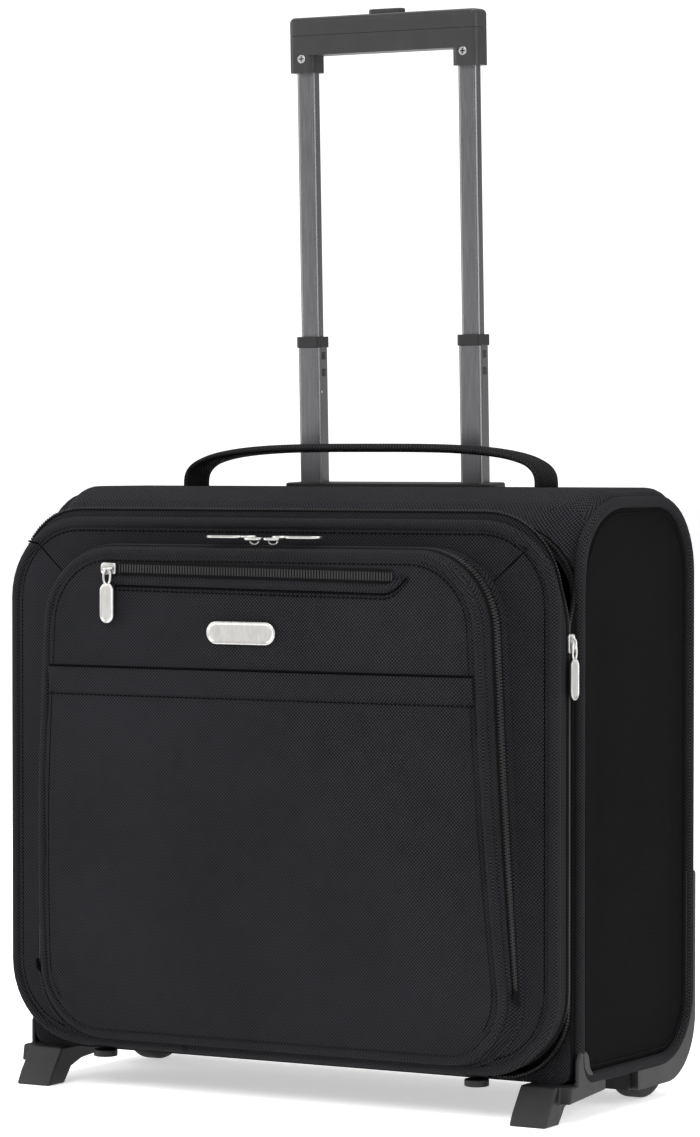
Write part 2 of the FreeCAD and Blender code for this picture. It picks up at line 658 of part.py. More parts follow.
def build_upper_stage():
    blocks = []
    sockets = []
    rods = []
    for side in SIDES:
        centre = D.tube_x * SIDES[side]
        node("upper_tube_" + side, tube("upper_tube_pad_" + side, side, D.upper_low, D.upper_top,
                                        D.upper_half_x, D.upper_half_y, D.upper_bore_x, D.upper_bore_y))
        blocks.append(pad("lock_block_pad_" + side, "z", D.upper_low - 12, D.upper_low,
                          oblong(D.middle_bore_x - 0.3, D.middle_bore_y - 0.3, 1.5, centre),
                          (circle_loop, centre, 0, D.rod_half + 0.4)))
        sockets.append(pad("grip_socket_" + side, "z", D.grip_low - 1, D.cavity_low + 1,
                           oblong(D.upper_half_x, D.upper_half_y, 2.6, centre)))
        rods.append(pad("lock_rod_" + side, "z", D.upper_low - 8, D.bridge_high,
                        (circle_loop, centre, 0, D.rod_half)))
    node("upper_lock_blocks", lean(group("upper_lock_pair", *blocks)))
    build_grip(sockets)
    bridge = pad("lock_bridge", "z", D.bridge_low, D.bridge_high, oblong(D.tube_x + 3, 3, 1))
    node("lock_rods", lean(join("lock_rod_frame", bridge, *rods)))


def screw_heads(name):
    """One head let into the front of each grip leg."""
    return [cylinder(name + side, "y", 3.2, (D.tube_x * SIDES[side], -D.grip_half_y, D.grip_under - 2.5), 2.5)
            for side in SIDES]


def build_grip(sockets):
    """Two shells split at mid height, with a cavity for the lock bridge and a slot for the button."""
    bar = pad("grip_bar", "z", D.grip_under, D.grip_part, oblong(D.grip_half_x, D.grip_half_y, 5))
    middle = (D.grip_leg_x + D.grip_half_x) * 0.5
    half = (D.grip_half_x - D.grip_leg_x) * 0.5
    legs = [pad("grip_leg_" + side, "z", D.grip_low, D.grip_under,
                oblong(half, D.grip_half_y, 5, middle * SIDES[side])) for side in SIDES]
    cavity = box("grip_cavity", (-D.tube_x - 5, D.tube_x + 5), (-5, 5), (D.cavity_low, D.cavity_top))
    lower = join("grip_lower_blank", bar, *legs)
    tools = join("grip_lower_tools", cavity, *sockets, *screw_heads("grip_screw_seat_"))
    node("grip_lower_shell", lean(cut("grip_lower_solid", lower, tools)))
    cover = pad("grip_cover", "z", D.grip_part, D.grip_top, oblong(D.grip_half_x, D.grip_half_y, 5))
    round_edges(cover, edges_at(solved(cover), D.grip_top.value), 4)
    slot = box("button_slot", (-D.button_half_x - 0.4, D.button_half_x + 0.4),
               (-D.button_half_y - 0.4, D.button_half_y + 0.4), (D.cavity_top - 1, D.grip_top + 1))
    node("grip_upper_shell", lean(cut("grip_upper_solid", cover, join("grip_upper_tools", cavity, slot))))
    node("grip_screws", lean(group("grip_screw_pair", *screw_heads("grip_screw_"))))
    button = pad("button_block", "z", D.bridge_high, D.button_top,
                 oblong(D.button_half_x, D.button_half_y, 4))
    node("release_button", lean(round_edges(button, edges_at(solved(button), D.button_top.value), 1.2)))
    spring = pad("button_spring_coil", "z", D.cavity_low, D.bridge_low, (circle_loop, 0, 0, 3.4),
                 (circle_loop, 0, 0, 2.4))
    node("button_spring", lean(spring))


# ---------------------------------------------------------------- carry handle
def build_carry_handle():
    """A padded grip loop: two upright ends and a bar, rounded at its upper corners."""
    half = D.carry_half
    thick = D.carry_thick
    loop = (polygon_loop, [(-half, D.carry_low), (-half + 34, D.carry_low), (-half + 40, D.carry_top - thick),
                           (half - 40, D.carry_top - thick), (half - 34, D.carry_low), (half, D.carry_low),
                           (half - 18, D.carry_top - 6), (half - 34, D.carry_top), (-half + 34, D.carry_top),
                           (-half + 18, D.carry_top - 6)])
    node("carry_handle", pad("carry_loop", "y", D.carry_front, D.carry_rear, loop))


# ---------------------------------------------------------------- wheels and guards
def build_wheel(side):
    """A rubber tyre on a plastic hub that runs on a fixed steel axle."""
    low, high = span(side, D.wheel_inner, D.wheel_outer)
    tyre = revolve("tyre_turn_" + side, [(round_loop, low, high, D.hub_r, D.wheel_r, [1, 1, 5, 5])])
    hub = revolve("hub_turn_" + side, [(polygon_loop, [
        (low + 0.5, D.axle_r + 0.06), (high - 0.5, D.axle_r + 0.06), (high - 0.5, D.axle_r + 5),
        (high - 4, D.axle_r + 7), (high - 4, D.hub_r - 4), (high - 0.5, D.hub_r - 3), (high - 0.5, D.hub_r),
        (low + 0.5, D.hub_r), (low + 0.5, D.hub_r - 3), (low + 4, D.hub_r - 4), (low + 4, D.axle_r + 7),
        (low + 0.5, D.axle_r + 5)])])
    for name, solid in (("tyre_", tyre), ("wheel_hub_", hub)):
        solid.setExpression("Placement.Base.y", D.wheel_y.text)
        solid.setExpression("Placement.Base.z", D.wheel_r.text)
        node(name + side, solid)


def build_guard(side):
    """A moulded corner guard: an outer rim round the fabric's corner and a well that holds the wheel."""
    rim = guard_outline("guard_rim_" + side, side, 0)
    block = well_block("guard_well_" + side, side)
    inner = D.guard_inner + D.cheek
    outer = D.shell_side - D.shell_wall - D.cheek
    well = box("well_room_" + side, span(side, inner, outer), (D.guard_front, 150), (-5, D.well_roof))
    bore = cylinder("axle_bore_" + side, "x", D.axle_r,
                    (span(side, D.guard_inner, D.guard_outer)[0], D.wheel_y, D.wheel_r),
                    D.guard_outer - D.guard_inner)
    blank = join("guard_blank_" + side, rim, trim_well(side, block))
    solid = cut("guard_solid_" + side, blank, join("guard_tools_" + side, well, bore))
    node("wheel_guard_" + side, solid)
    axle_low = span(side, D.guard_inner, D.shell_side - D.shell_wall)[0]
    return cylinder("axle_pin_" + side, "x", D.axle_r, (axle_low, D.wheel_y, D.wheel_r),
                    D.shell_side - D.shell_wall - D.guard_inner)


def trim_well(side, block):
    """Keep the well's block inside the guard's own rounded side outline."""
    small = as_dim(3)
    outline = pad("well_outline_" + side, "x", *span(side, D.guard_inner - 1, D.guard_outer),
                  (round_loop, D.guard_front - D.well_wall - 2, D.guard_back, D.guard_low, D.guard_top,
                   [small, D.guard_corner, small, small]))
    return common("well_trim_" + side, block, outline)


# ---------------------------------------------------------------- front feet and studs
def build_foot(side):
    """A raked foot under the front corner, with a flange under the base and a wing up the side."""
    leg = pad("foot_leg_" + side, "x", *span(side, D.foot_inner, D.foot_outer), (polygon_loop, [
        (-D.foot_front, 0), (-D.foot_heel, 0), (-66, 11), (-52, 15.5), (-20, 18), (-20, D.shell_low - 0.1),
        (-D.panel_rear + 6, D.shell_low - 0.1), (-D.foot_front + 5, 9)]))
    sill = pad("foot_sill_" + side, "x", *span(side, D.foot_outer - 1, D.wing_outer), (polygon_loop, [
        (-76, 14), (-52, 15.5), (-22, 18), (-22, D.shell_low - 0.1), (-74, D.shell_low - 0.1)]))
    wing = pad("foot_wing_" + side, "x", *span(side, D.wing_inner, D.wing_outer), (polygon_loop, [
        (-64, D.shell_low - 1), (-24, D.shell_low - 1), (-26, 28), (-40, 31), (-45, 36), (-47, 44), (-51, 48),
        (-60, 48), (-64, 42)]))
    node("front_foot_" + side, join("foot_solid_" + side, leg, sill, wing))
    screw_x = D.foot_inner + 10
    return cylinder("foot_screw_" + side, "z", 2.8, (screw_x * SIDES[side], -35, 15.4), 1.2)


def build_base_hardware(axles, screws):
    node("wheel_axles", group("axle_pair", *axles))
    node("foot_screws", group("foot_screw_set", *screws))
    studs = []
    for side in SIDES:
        blank = cylinder("stud_blank_" + side, "z", D.stud_r, (D.stud_x * SIDES[side], -D.stud_y, 22),
                         D.mouth_zip_low - 22)
        studs.append(blank)
    node("base_studs", group("stud_pair", *studs))


# ---------------------------------------------------------------- build, check and write
def check_and_write():
    """Refuse a failed or empty object before any file is written, then write one file per sub-part."""
    doc.recompute()
    faults = [item.Name for item in doc.Objects if "Invalid" in item.State or "Error" in item.State]
    faults += [name for name, item in nodes.items() if item.Shape.isNull() or not item.Shape.isValid()]
    if faults:
        raise RuntimeError("failed: " + ", ".join(faults))
    os.makedirs("parts", exist_ok=True)
    for name, item in nodes.items():
        item.Shape.exportStep("parts/%s.step" % name)
        edges = item.Shape.BoundBox
        print("%-22s solids %d volume %9.0f  x %7.1f %7.1f  y %7.1f %7.1f  z %6.1f %6.1f" % (
            name, len(item.Shape.Solids), item.Shape.Volume, edges.XMin, edges.XMax, edges.YMin, edges.YMax,
            edges.ZMin, edges.ZMax))
    print(len(nodes), "nodes")


def build_case():
    build_shell()
    build_inside()
    build_panel()
    build_pocket()
    build_small_slider()
    build_fixed_tubes()
    build_middle_stage()
    build_upper_stage()
    build_carry_handle()
    axles = []
    screws = []
    for side in SIDES:
        build_main_slider(side)
        build_pocket_slider(side)
        build_wheel(side)
        axles.append(build_guard(side))
        screws.append(build_foot(side))
    build_base_hardware(axles, screws)
    check_and_write()


build_case()
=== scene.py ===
# %% [markdown]
# # A rolling laptop case
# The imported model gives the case's bodies, joints and sizes. This lesson dresses it: cloth, welts, zips,
# moulded parts and metal, each piece riding on the body that it belongs to. Everything is in metres, +Z up,
# and the front of the case faces -Y.

# %% Load the frame
import math
import bmesh
import bpy
from mathutils import Euler, Matrix, Vector
from mathutils.bvhtree import BVHTree
from mathutils.kdtree import KDTree


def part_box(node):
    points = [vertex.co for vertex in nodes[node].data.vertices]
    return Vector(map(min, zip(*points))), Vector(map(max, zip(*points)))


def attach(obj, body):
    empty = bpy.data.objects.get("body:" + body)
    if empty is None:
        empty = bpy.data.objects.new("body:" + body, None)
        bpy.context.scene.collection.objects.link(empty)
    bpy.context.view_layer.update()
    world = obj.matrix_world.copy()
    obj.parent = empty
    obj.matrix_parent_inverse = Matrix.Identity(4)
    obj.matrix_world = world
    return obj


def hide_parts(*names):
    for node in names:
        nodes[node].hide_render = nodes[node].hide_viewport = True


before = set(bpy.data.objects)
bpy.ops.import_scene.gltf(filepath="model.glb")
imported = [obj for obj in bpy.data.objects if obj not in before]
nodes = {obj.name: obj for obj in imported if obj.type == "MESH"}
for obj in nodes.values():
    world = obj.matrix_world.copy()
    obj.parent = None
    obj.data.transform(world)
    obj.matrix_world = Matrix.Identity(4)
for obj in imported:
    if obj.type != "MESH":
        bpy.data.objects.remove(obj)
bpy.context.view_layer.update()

# %% [markdown]
# ## Camera, lights and floor
# A long lens a few metres away keeps the sides nearly parallel, as a catalogue view does. Black cloth shows
# its form only by what it reflects, so large soft lights stand around it: one high in front, one for each
# side and one over the top. The floor is a plain pale sheet.

# %% Camera
TURN = math.radians(30.0)
RISE = math.radians(1.5)
REACH = 3.110
AIM = Vector((0.0075, 0.0, 0.3694))
LENS_MM = 139.3


def aim_at(thing, target):
    """Turn an object so that its -Z looks at the target."""
    away = thing.location - target
    thing.rotation_euler = away.to_track_quat("Z", "Y").to_euler()


scene = bpy.context.scene
camera = bpy.data.objects.new("camera", bpy.data.cameras.new("camera"))
scene.collection.objects.link(camera)
camera.data.lens = LENS_MM
camera.location = AIM + REACH * Vector((math.sin(TURN) * math.cos(RISE), -math.cos(TURN) * math.cos(RISE),
                                        math.sin(RISE)))
aim_at(camera, AIM)
scene.camera = camera
scene.view_settings.view_transform = "Standard"
print("camera at", [round(value, 3) for value in camera.location])


# %% Lights
def soft_light(name, place, size, watts, target=(0, 0, 0.3)):
    lamp = bpy.data.lights.new(name, "AREA")
    lamp.shape = "RECTANGLE"
    lamp.size, lamp.size_y = size
    lamp.energy = watts
    holder = bpy.data.objects.new(name, lamp)
    scene.collection.objects.link(holder)
    holder.location = place
    aim_at(holder, Vector(target))
    return holder


soft_light("high_front_light", (0.2, -2.6, 2.2), (2.0, 1.4), 70)
soft_light("right_light", (2.6, -0.2, 1.2), (1.6, 2.0), 45)
soft_light("left_light", (-2.4, -1.2, 1.2), (1.4, 2.0), 45)
soft_light("top_light", (0.1, 0.5, 2.8), (2.4, 1.6), 60)
world = bpy.data.worlds.new("studio")
scene.world = world
world.use_nodes = True
backdrop = world.node_tree.nodes["Background"]
backdrop.inputs["Color"].default_value = (1.0, 1.0, 1.0, 1)
seen = world.node_tree.nodes.new("ShaderNodeLightPath").outputs["Is Camera Ray"]
strength = world.node_tree.nodes.new("ShaderNodeMath")
strength.operation = "MULTIPLY_ADD"
world.node_tree.links.new(seen, strength.inputs[0])
strength.inputs[1].default_value = 0.65
strength.inputs[2].default_value = 0.55
world.node_tree.links.new(strength.outputs[0], backdrop.inputs["Strength"])

# %% [markdown]
# ## Shared shader effects
# Each finish is a Principled BSDF that stays in its own material. What several finishes share is built once
# as a node group that puts out a mask or a height: `woven` is a basket weave of crossing yarns, `mottle` is
# slow unevenness in colour, `grained` is the fine tooth of moulded plastic, and `streaked` is drawn or
# brushed metal. The weave needs flat coordinates on every side of a boxy bag. The group looks at which way
# the surface faces and takes the two object coordinates that lie in it, so no UV map is needed.


# %% Node group helpers
def new_group(name, inputs, outputs):
    group = bpy.data.node_groups.new(name, "ShaderNodeTree")
    for word, value in inputs.items():
        socket = group.interface.new_socket(word, in_out="INPUT", socket_type="NodeSocketFloat")
        socket.default_value = value
    for word in outputs:
        group.interface.new_socket(word, in_out="OUTPUT", socket_type="NodeSocketFloat")
    return group, group.nodes.new("NodeGroupInput"), group.nodes.new("NodeGroupOutput")


def feed(tree, socket, value):
    """Link a socket to another, or set its plain value."""
    if isinstance(value, bpy.types.NodeSocket):
        tree.links.new(value, socket)
    else:
        socket.default_value = value


def sum_node(tree, operation, first, second=0.0, third=0.0):
    node = tree.nodes.new("ShaderNodeMath")
    node.operation = operation
    for socket, value in zip(node.inputs, (first, second, third)):
        feed(tree, socket, value)
    return node.outputs[0]


def noise_node(tree, vector, scale, detail=3.0, rough=0.5):
    node = tree.nodes.new("ShaderNodeTexNoise")
    feed(tree, node.inputs["Vector"], vector)
    feed(tree, node.inputs["Scale"], scale)
    node.inputs["Detail"].default_value = detail
    node.inputs["Roughness"].default_value = rough
    return node.outputs["Fac"]


def object_axes(tree):
    coords = tree.nodes.new("ShaderNodeTexCoord")
    split = tree.nodes.new("ShaderNodeSeparateXYZ")
    tree.links.new(coords.outputs["Object"], split.inputs[0])
    return coords.outputs["Object"], split.outputs


def facing_plane(tree):
    """Two object coordinates that lie in the surface, picked by the way it faces."""
    vector, place = object_axes(tree)
    normal = tree.nodes.new("ShaderNodeNewGeometry").outputs["True Normal"]
    split = tree.nodes.new("ShaderNodeSeparateXYZ")
    tree.links.new(normal, split.inputs[0])
    size = [sum_node(tree, "ABSOLUTE", part) for part in split.outputs]
    beyond_y = sum_node(tree, "GREATER_THAN", size[0], size[1])
    beyond_z = sum_node(tree, "GREATER_THAN", size[0], size[2])
    side = sum_node(tree, "MULTIPLY", beyond_y, beyond_z)
    top = sum_node(tree, "MULTIPLY", sum_node(tree, "GREATER_THAN", size[2], size[1]),
                   sum_node(tree, "GREATER_THAN", size[2], size[0]))
    across = pick(tree, side, place[0], place[1])
    upward = pick(tree, top, place[2], place[1])
    return vector, across, upward


def pick(tree, mask, off, on):
    """off where the mask is 0 and on where it is 1."""
    return sum_node(tree, "MULTIPLY_ADD", sum_node(tree, "SUBTRACT", on, off), mask, off)


# %% The weave
def build_woven():
    """Crossing yarns: each cell is one yarn over another, rounded across its own run."""
    group, into, out = new_group("woven", {"Yarns per metre": 1000.0, "Slant": 0.0}, ["Height", "Yarn"])
    vector, across, upward = facing_plane(group)
    slanted = sum_node(group, "MULTIPLY_ADD", upward, into.outputs["Slant"], across)
    warp = sum_node(group, "MULTIPLY", slanted, into.outputs["Yarns per metre"])
    back_slant = sum_node(group, "MULTIPLY", into.outputs["Slant"], -1.0)
    crossed = sum_node(group, "MULTIPLY_ADD", across, back_slant, upward)
    weft = sum_node(group, "MULTIPLY", crossed, into.outputs["Yarns per metre"])
    cells = sum_node(group, "ADD", sum_node(group, "FLOOR", warp), sum_node(group, "FLOOR", weft))
    over = sum_node(group, "PINGPONG", cells, 1.0)
    hump = [sum_node(group, "SINE", sum_node(group, "MULTIPLY", sum_node(group, "FRACT", run), math.pi))
            for run in (warp, weft)]
    warp_up = sum_node(group, "MULTIPLY", sum_node(group, "POWER", hump[0], 0.5), hump[1])
    weft_up = sum_node(group, "MULTIPLY", sum_node(group, "POWER", hump[1], 0.5), hump[0])
    height = sum_node(group, "MULTIPLY_ADD", over, sum_node(group, "SUBTRACT", warp_up, weft_up), weft_up)
    fuzz = noise_node(group, vector, 2400.0, 2.0)
    feed(group, out.inputs["Height"], sum_node(group, "MULTIPLY_ADD", fuzz, 0.35, height))
    feed(group, out.inputs["Yarn"], sum_node(group, "MULTIPLY", over, height))
    return group


def build_mottle():
    """Slow uneven tone, as in dyed cloth and handled plastic."""
    group, into, out = new_group("mottle", {"Scale": 9.0}, ["Tone"])
    vector = object_axes(group)[0]
    broad = noise_node(group, vector, into.outputs["Scale"], 4.0, 0.6)
    fine = noise_node(group, vector, sum_node(group, "MULTIPLY", into.outputs["Scale"], 14.0), 2.0)
    feed(group, out.inputs["Tone"], sum_node(group, "MULTIPLY_ADD", fine, 0.35, broad))
    return group


def build_grained():
    """The spark-eroded tooth of a mould, with rubbed patches where hands and floors polish it."""
    group, into, out = new_group("grained", {"Scale": 1600.0}, ["Height", "Rub"])
    vector = object_axes(group)[0]
    feed(group, out.inputs["Height"], noise_node(group, vector, into.outputs["Scale"], 2.0, 0.7))
    feed(group, out.inputs["Rub"], noise_node(group, vector, 26.0, 5.0, 0.65))
    return group


def build_streaked():
    """Long fine streaks up an extruded or brushed part."""
    group, into, out = new_group("streaked", {"Across": 1400.0, "Along": 9.0}, ["Height"])
    place = object_axes(group)[1]
    joined = group.nodes.new("ShaderNodeCombineXYZ")
    for socket, part, scale in zip(joined.inputs, place, ("Across", "Across", "Along")):
        feed(group, socket, sum_node(group, "MULTIPLY", part, into.outputs[scale]))
    feed(group, out.inputs["Height"], noise_node(group, joined.outputs[0], 1.0, 3.0))
    return group


GROUPS = {"woven": build_woven(), "mottle": build_mottle(), "grained": build_grained(),
          "streaked": build_streaked()}
print("shared effects", sorted(GROUPS))

# %% [markdown]
# ## Finishes
# A finish starts from a plain Principled BSDF. Its colour runs between two tones under a mask, and its bump
# comes from one of the shared heights. Cloth keeps a little sheen, set on the shader's own socket, so that
# its edges catch light the way brushed yarn does.


# %% Finish helpers
def new_finish(name, rough, metal=0.0, sheen=0.0, specular=0.3):
    material = bpy.data.materials.new(name)
    material.use_nodes = True
    shader = material.node_tree.nodes["Principled BSDF"]
    shader.inputs["Roughness"].default_value = rough
    shader.inputs["Metallic"].default_value = metal
    shader.inputs["Sheen Weight"].default_value = sheen
    shader.inputs["Sheen Roughness"].default_value = 0.5
    shader.inputs["Specular IOR Level"].default_value = specular
    return material, material.node_tree, shader


def place_group(tree, kind, **values):
    node = tree.nodes.new("ShaderNodeGroup")
    node.node_tree = GROUPS[kind]
    for word, value in values.items():
        node.inputs[word.replace("_", " ")].default_value = value
    return node.outputs


def tones(tree, mask, dark, light, low=0.0, high=1.0):
    ramp = tree.nodes.new("ShaderNodeValToRGB")
    feed(tree, ramp.inputs["Fac"], mask)
    ramp.color_ramp.elements[0].position = low
    ramp.color_ramp.elements[1].position = high
    ramp.color_ramp.elements[0].color = (*dark, 1)
    ramp.color_ramp.elements[1].color = (*light, 1)
    return ramp.outputs["Color"]


def bumped(tree, shader, height, strength, distance):
    bump = tree.nodes.new("ShaderNodeBump")
    bump.inputs["Strength"].default_value = strength
    bump.inputs["Distance"].default_value = distance
    feed(tree, bump.inputs["Height"], height)
    tree.links.new(bump.outputs["Normal"], shader.inputs["Normal"])


def cloth_finish(name, yarns, dark, light, slant=0.0, depth=0.0007, sheen=0.015, rough=0.8):
    """Woven cloth: yarn crowns carry a painted highlight and the gaps painted shade, with slow unevenness in
    the dye.
    """
    material, tree, shader = new_finish(name, rough, sheen=sheen, specular=0.05)
    weave = place_group(tree, "woven", Yarns_per_metre=yarns, Slant=slant)
    tone = place_group(tree, "mottle", Scale=7.0)["Tone"]
    # The weave's height sets the colour: a painted highlight on the crowns and painted shade in the gaps,
    # scaled at random by the dye mottle.
    mask = sum_node(tree, "MULTIPLY", weave["Height"], sum_node(tree, "MULTIPLY_ADD", tone, 0.7, 0.45))
    tree.links.new(tones(tree, mask, dark, light, 0.28, 0.95), shader.inputs["Base Color"])
    bumped(tree, shader, weave["Height"], 0.9, depth)
    return material


def plastic_finish(name, dark, light, rough=0.5, grain=1600.0, depth=0.00012):
    """Moulded plastic with a fine tooth, smoother where it has been rubbed."""
    material, tree, shader = new_finish(name, rough)
    grain_out = place_group(tree, "grained", Scale=grain)
    tree.links.new(tones(tree, grain_out["Rub"], dark, light, 0.3, 0.75), shader.inputs["Base Color"])
    gloss = sum_node(tree, "MULTIPLY_ADD", grain_out["Rub"], -0.18, rough + 0.1)
    tree.links.new(gloss, shader.inputs["Roughness"])
    bumped(tree, shader, grain_out["Height"], 0.5, depth)
    return material


def metal_finish(name, dark, light, rough, across=1400.0, along=9.0):
    """Brushed or drawn metal: streaks in both tone and gloss."""
    material, tree, shader = new_finish(name, rough, metal=1.0)
    streak = place_group(tree, "streaked", Across=across, Along=along)["Height"]
    tree.links.new(tones(tree, streak, dark, light, 0.3, 0.7), shader.inputs["Base Color"])
    tree.links.new(sum_node(tree, "MULTIPLY_ADD", streak, 0.12, rough - 0.06), shader.inputs["Roughness"])
    bumped(tree, shader, streak, 0.25, 0.00005)
    return material


# %% The case's finishes
# For each cloth, the light tone is the painted highlight on its yarn crowns and the dark tone is the painted
# shade in the gaps.
FINISH = {
    "ballistic": cloth_finish("ballistic_cloth", 400.0, (0.0003, 0.0003, 0.0005), (0.0235, 0.0235, 0.0280),
                              slant=1.0, depth=0.0013),
    "side": cloth_finish("side_cloth", 620.0, (0.0002, 0.0002, 0.0002), (0.0085, 0.0080, 0.0080), slant=1.0,
                         depth=0.0012, sheen=0.0, rough=0.95),
    "welt": cloth_finish("welt_cloth", 430.0, (0.0003, 0.0003, 0.0005), (0.027, 0.027, 0.031), slant=1.0,
                         depth=0.0018),
    "tape": cloth_finish("zip_tape", 1100.0, (0.0006, 0.0006, 0.0006), (0.0060, 0.0060, 0.0065),
                         depth=0.0003),
    "lining": cloth_finish("lining_cloth", 1800.0, (0.008, 0.008, 0.009), (0.022, 0.022, 0.024),
                           depth=0.0002),
    "webbing": cloth_finish("webbing", 700.0, (0.0015, 0.0015, 0.0018), (0.012, 0.012, 0.0135), slant=0.6),
    "thread": cloth_finish("stitch_thread", 3000.0, (0.0006, 0.0006, 0.0008), (0.0060, 0.0060, 0.0070),
                           slant=1.0, depth=0.0001),
    # seam: near-black cloth. Thin ropes of it under folds and along the mitres are painted shade. The front's
    # stitch rows are sewn in it too.
    "seam": cloth_finish("seam_shadow", 3000.0, (0.0001, 0.0001, 0.0001), (0.0014, 0.0014, 0.0016),
                         depth=0.0001, sheen=0.0),
    "coil": plastic_finish("zip_coil", (0.0040, 0.0040, 0.0044), (0.0110, 0.0110, 0.0118), 0.5),
    "moulded": plastic_finish("moulded_plastic", (0.0030, 0.0030, 0.0034), (0.0080, 0.0080, 0.0086), 0.50),
    "grip": plastic_finish("grip_plastic", (0.010, 0.010, 0.011), (0.020, 0.020, 0.021), 0.45, 1100.0),
    "board": plastic_finish("fibre_board", (0.02, 0.018, 0.016), (0.04, 0.037, 0.033), 0.8, 500.0, 0.0003),
    # rubber: the tyres' own rubber. The same dark finish also fills the painted shade of the screw recesses
    # and lock windows.
    "rubber": plastic_finish("tyre_rubber", (0.008, 0.008, 0.008), (0.022, 0.022, 0.022), 0.75, 900.0,
                             0.0002),
    "tube": metal_finish("anodised_tube", (0.110, 0.110, 0.115), (0.145, 0.145, 0.152), 0.34),
    "nickel": metal_finish("satin_nickel", (0.42, 0.415, 0.40), (0.50, 0.49, 0.475), 0.33, 500.0, 90.0),
    "steel": metal_finish("plated_steel", (0.30, 0.30, 0.31), (0.50, 0.50, 0.51), 0.34),
}
print("finishes", len(FINISH))

# %% [markdown]
# ## Mesh helpers
# Most of the bag's lines are rounded rectangles. `outline` makes one by bevelling the corners of a single
# face and reading its points back, so a corner is always a true arc. Skins are then bridged between
# outlines, and welts and stitches run along them.


# %% Outlines and skins
def outline(corners, radii, segments=8, cuts=0):
    """Points round a four-cornered face whose corners are rounded by their own radii."""
    scratch = bmesh.new()
    scratch.faces.new([scratch.verts.new(corner) for corner in corners])
    for corner, radius in zip(corners, radii):
        vert = min(scratch.verts, key=lambda item: (item.co - Vector(corner)).length)
        bmesh.ops.bevel(scratch, geom=[vert], offset=radius, offset_type="OFFSET", segments=segments,
                        profile=0.5, affect="VERTICES", material=-1)
    if cuts:
        long_edges = sorted(scratch.edges, key=lambda edge: -edge.calc_length())[:4]
        bmesh.ops.subdivide_edges(scratch, edges=long_edges, cuts=cuts)
    scratch.faces.ensure_lookup_table()
    points = [loop.vert.co.copy() for loop in scratch.faces[0].loops]
    scratch.free()
    return points


def front_loop(depth, half, low, top, round_low, round_top, segments=8, cuts=0):
    """A rounded rectangle that faces the front, at one depth."""
    corners = [(-half, depth, low), (half, depth, low), (half, depth, top), (-half, depth, top)]
    return outline(corners, (round_low, round_low, round_top, round_top), segments, cuts)


def ring_of(mesh, points, closed=True):
    """Add points as a chain of edges and return the edges."""
    verts = [mesh.verts.new(point) for point in points]
    pairs = list(zip(verts, verts[1:]))
    if closed:
        pairs.append((verts[-1], verts[0]))
    return [mesh.edges.new(pair) for pair in pairs]


def skin(mesh, loops, closed=True):
    """Bridge a run of outlines into one skin and return their edge rings."""
    rings = [ring_of(mesh, points, closed) for points in loops]
    for first, second in zip(rings, rings[1:]):
        bmesh.ops.bridge_loops(mesh, edges=first + second)
    return rings


def finish_mesh(name, mesh, finishes, smooth=True):
    """Turn a bmesh into an object at the origin with its finishes."""
    data = bpy.data.meshes.new(name)
    mesh.normal_update()
    mesh.to_mesh(data)
    mesh.free()
    for finish in finishes:
        data.materials.append(FINISH[finish])
    for face in data.polygons:
        face.use_smooth = smooth and len(face.vertices) < 9
    piece = bpy.data.objects.new(name, data)
    scene.collection.objects.link(piece)
    return piece


def recalc(mesh):
    bmesh.ops.remove_doubles(mesh, verts=mesh.verts[:], dist=0.00002)
    bmesh.ops.recalc_face_normals(mesh, faces=mesh.faces[:])


def apply_modifiers(piece):
    """Keep the evaluated mesh and drop the modifiers."""
    evaluated = piece.evaluated_get(bpy.context.evaluated_depsgraph_get())
    data = bpy.data.meshes.new_from_object(evaluated)
    piece.modifiers.clear()
    piece.data = data
    return piece


def add_modifier(piece, kind, **values):
    modifier = piece.modifiers.new(kind.lower(), kind)
    for word, value in values.items():
        setattr(modifier, word, value)
    return modifier


def soften(piece, width, segments=3, angle=35, clamp=True):
    """Round every sharp edge with a live bevel, then keep the result."""
    add_modifier(piece, "BEVEL", width=width, segments=segments, limit_method="ANGLE",
                 angle_limit=math.radians(angle), use_clamp_overlap=clamp)
    apply_modifiers(piece)
    for face in piece.data.polygons:
        face.use_smooth = True
    add_modifier(piece, "WEIGHTED_NORMAL", keep_sharp=True)
    return apply_modifiers(piece)


def join_pieces(name, pieces):
    """Make one object of several."""
    mesh = bmesh.new()
    finishes = []
    for piece in pieces:
        start = len(mesh.faces)
        mesh.from_mesh(piece.data)
        mesh.faces.ensure_lookup_table()
        for face in mesh.faces[start:]:
            material = piece.data.materials[face.material_index]
            if material not in finishes:
                finishes.append(material)
            face.material_index = finishes.index(material)
    data = bpy.data.meshes.new(name)
    mesh.to_mesh(data)
    mesh.free()
    for material in finishes:
        data.materials.append(material)
    for piece in pieces:
        bpy.data.objects.remove(piece)
    whole = bpy.data.objects.new(name, data)
    scene.collection.objects.link(whole)
    return whole


# %% Round cords along a path
def rope(name, points, radius, finish, closed=True):
    """A round welt along a chain of points, made from a bevelled curve."""
    curve = bpy.data.curves.new(name, "CURVE")
    curve.dimensions = "3D"
    curve.bevel_depth = radius
    curve.bevel_resolution = 3
    curve.use_fill_caps = True
    spline = curve.splines.new("POLY")
    spline.points.add(len(points) - 1)
    for place, point in zip(spline.points, points):
        place.co = (*point, 1)
    spline.use_cyclic_u = closed
    holder = bpy.data.objects.new(name + "_line", curve)
    scene.collection.objects.link(holder)
    data = bpy.data.meshes.new_from_object(holder.evaluated_get(bpy.context.evaluated_depsgraph_get()))
    bpy.data.objects.remove(holder)
    data.materials.clear()
    data.materials.append(FINISH[finish])
    for face in data.polygons:
        face.use_smooth = True
    piece = bpy.data.objects.new(name, data)
    scene.collection.objects.link(piece)
    return piece


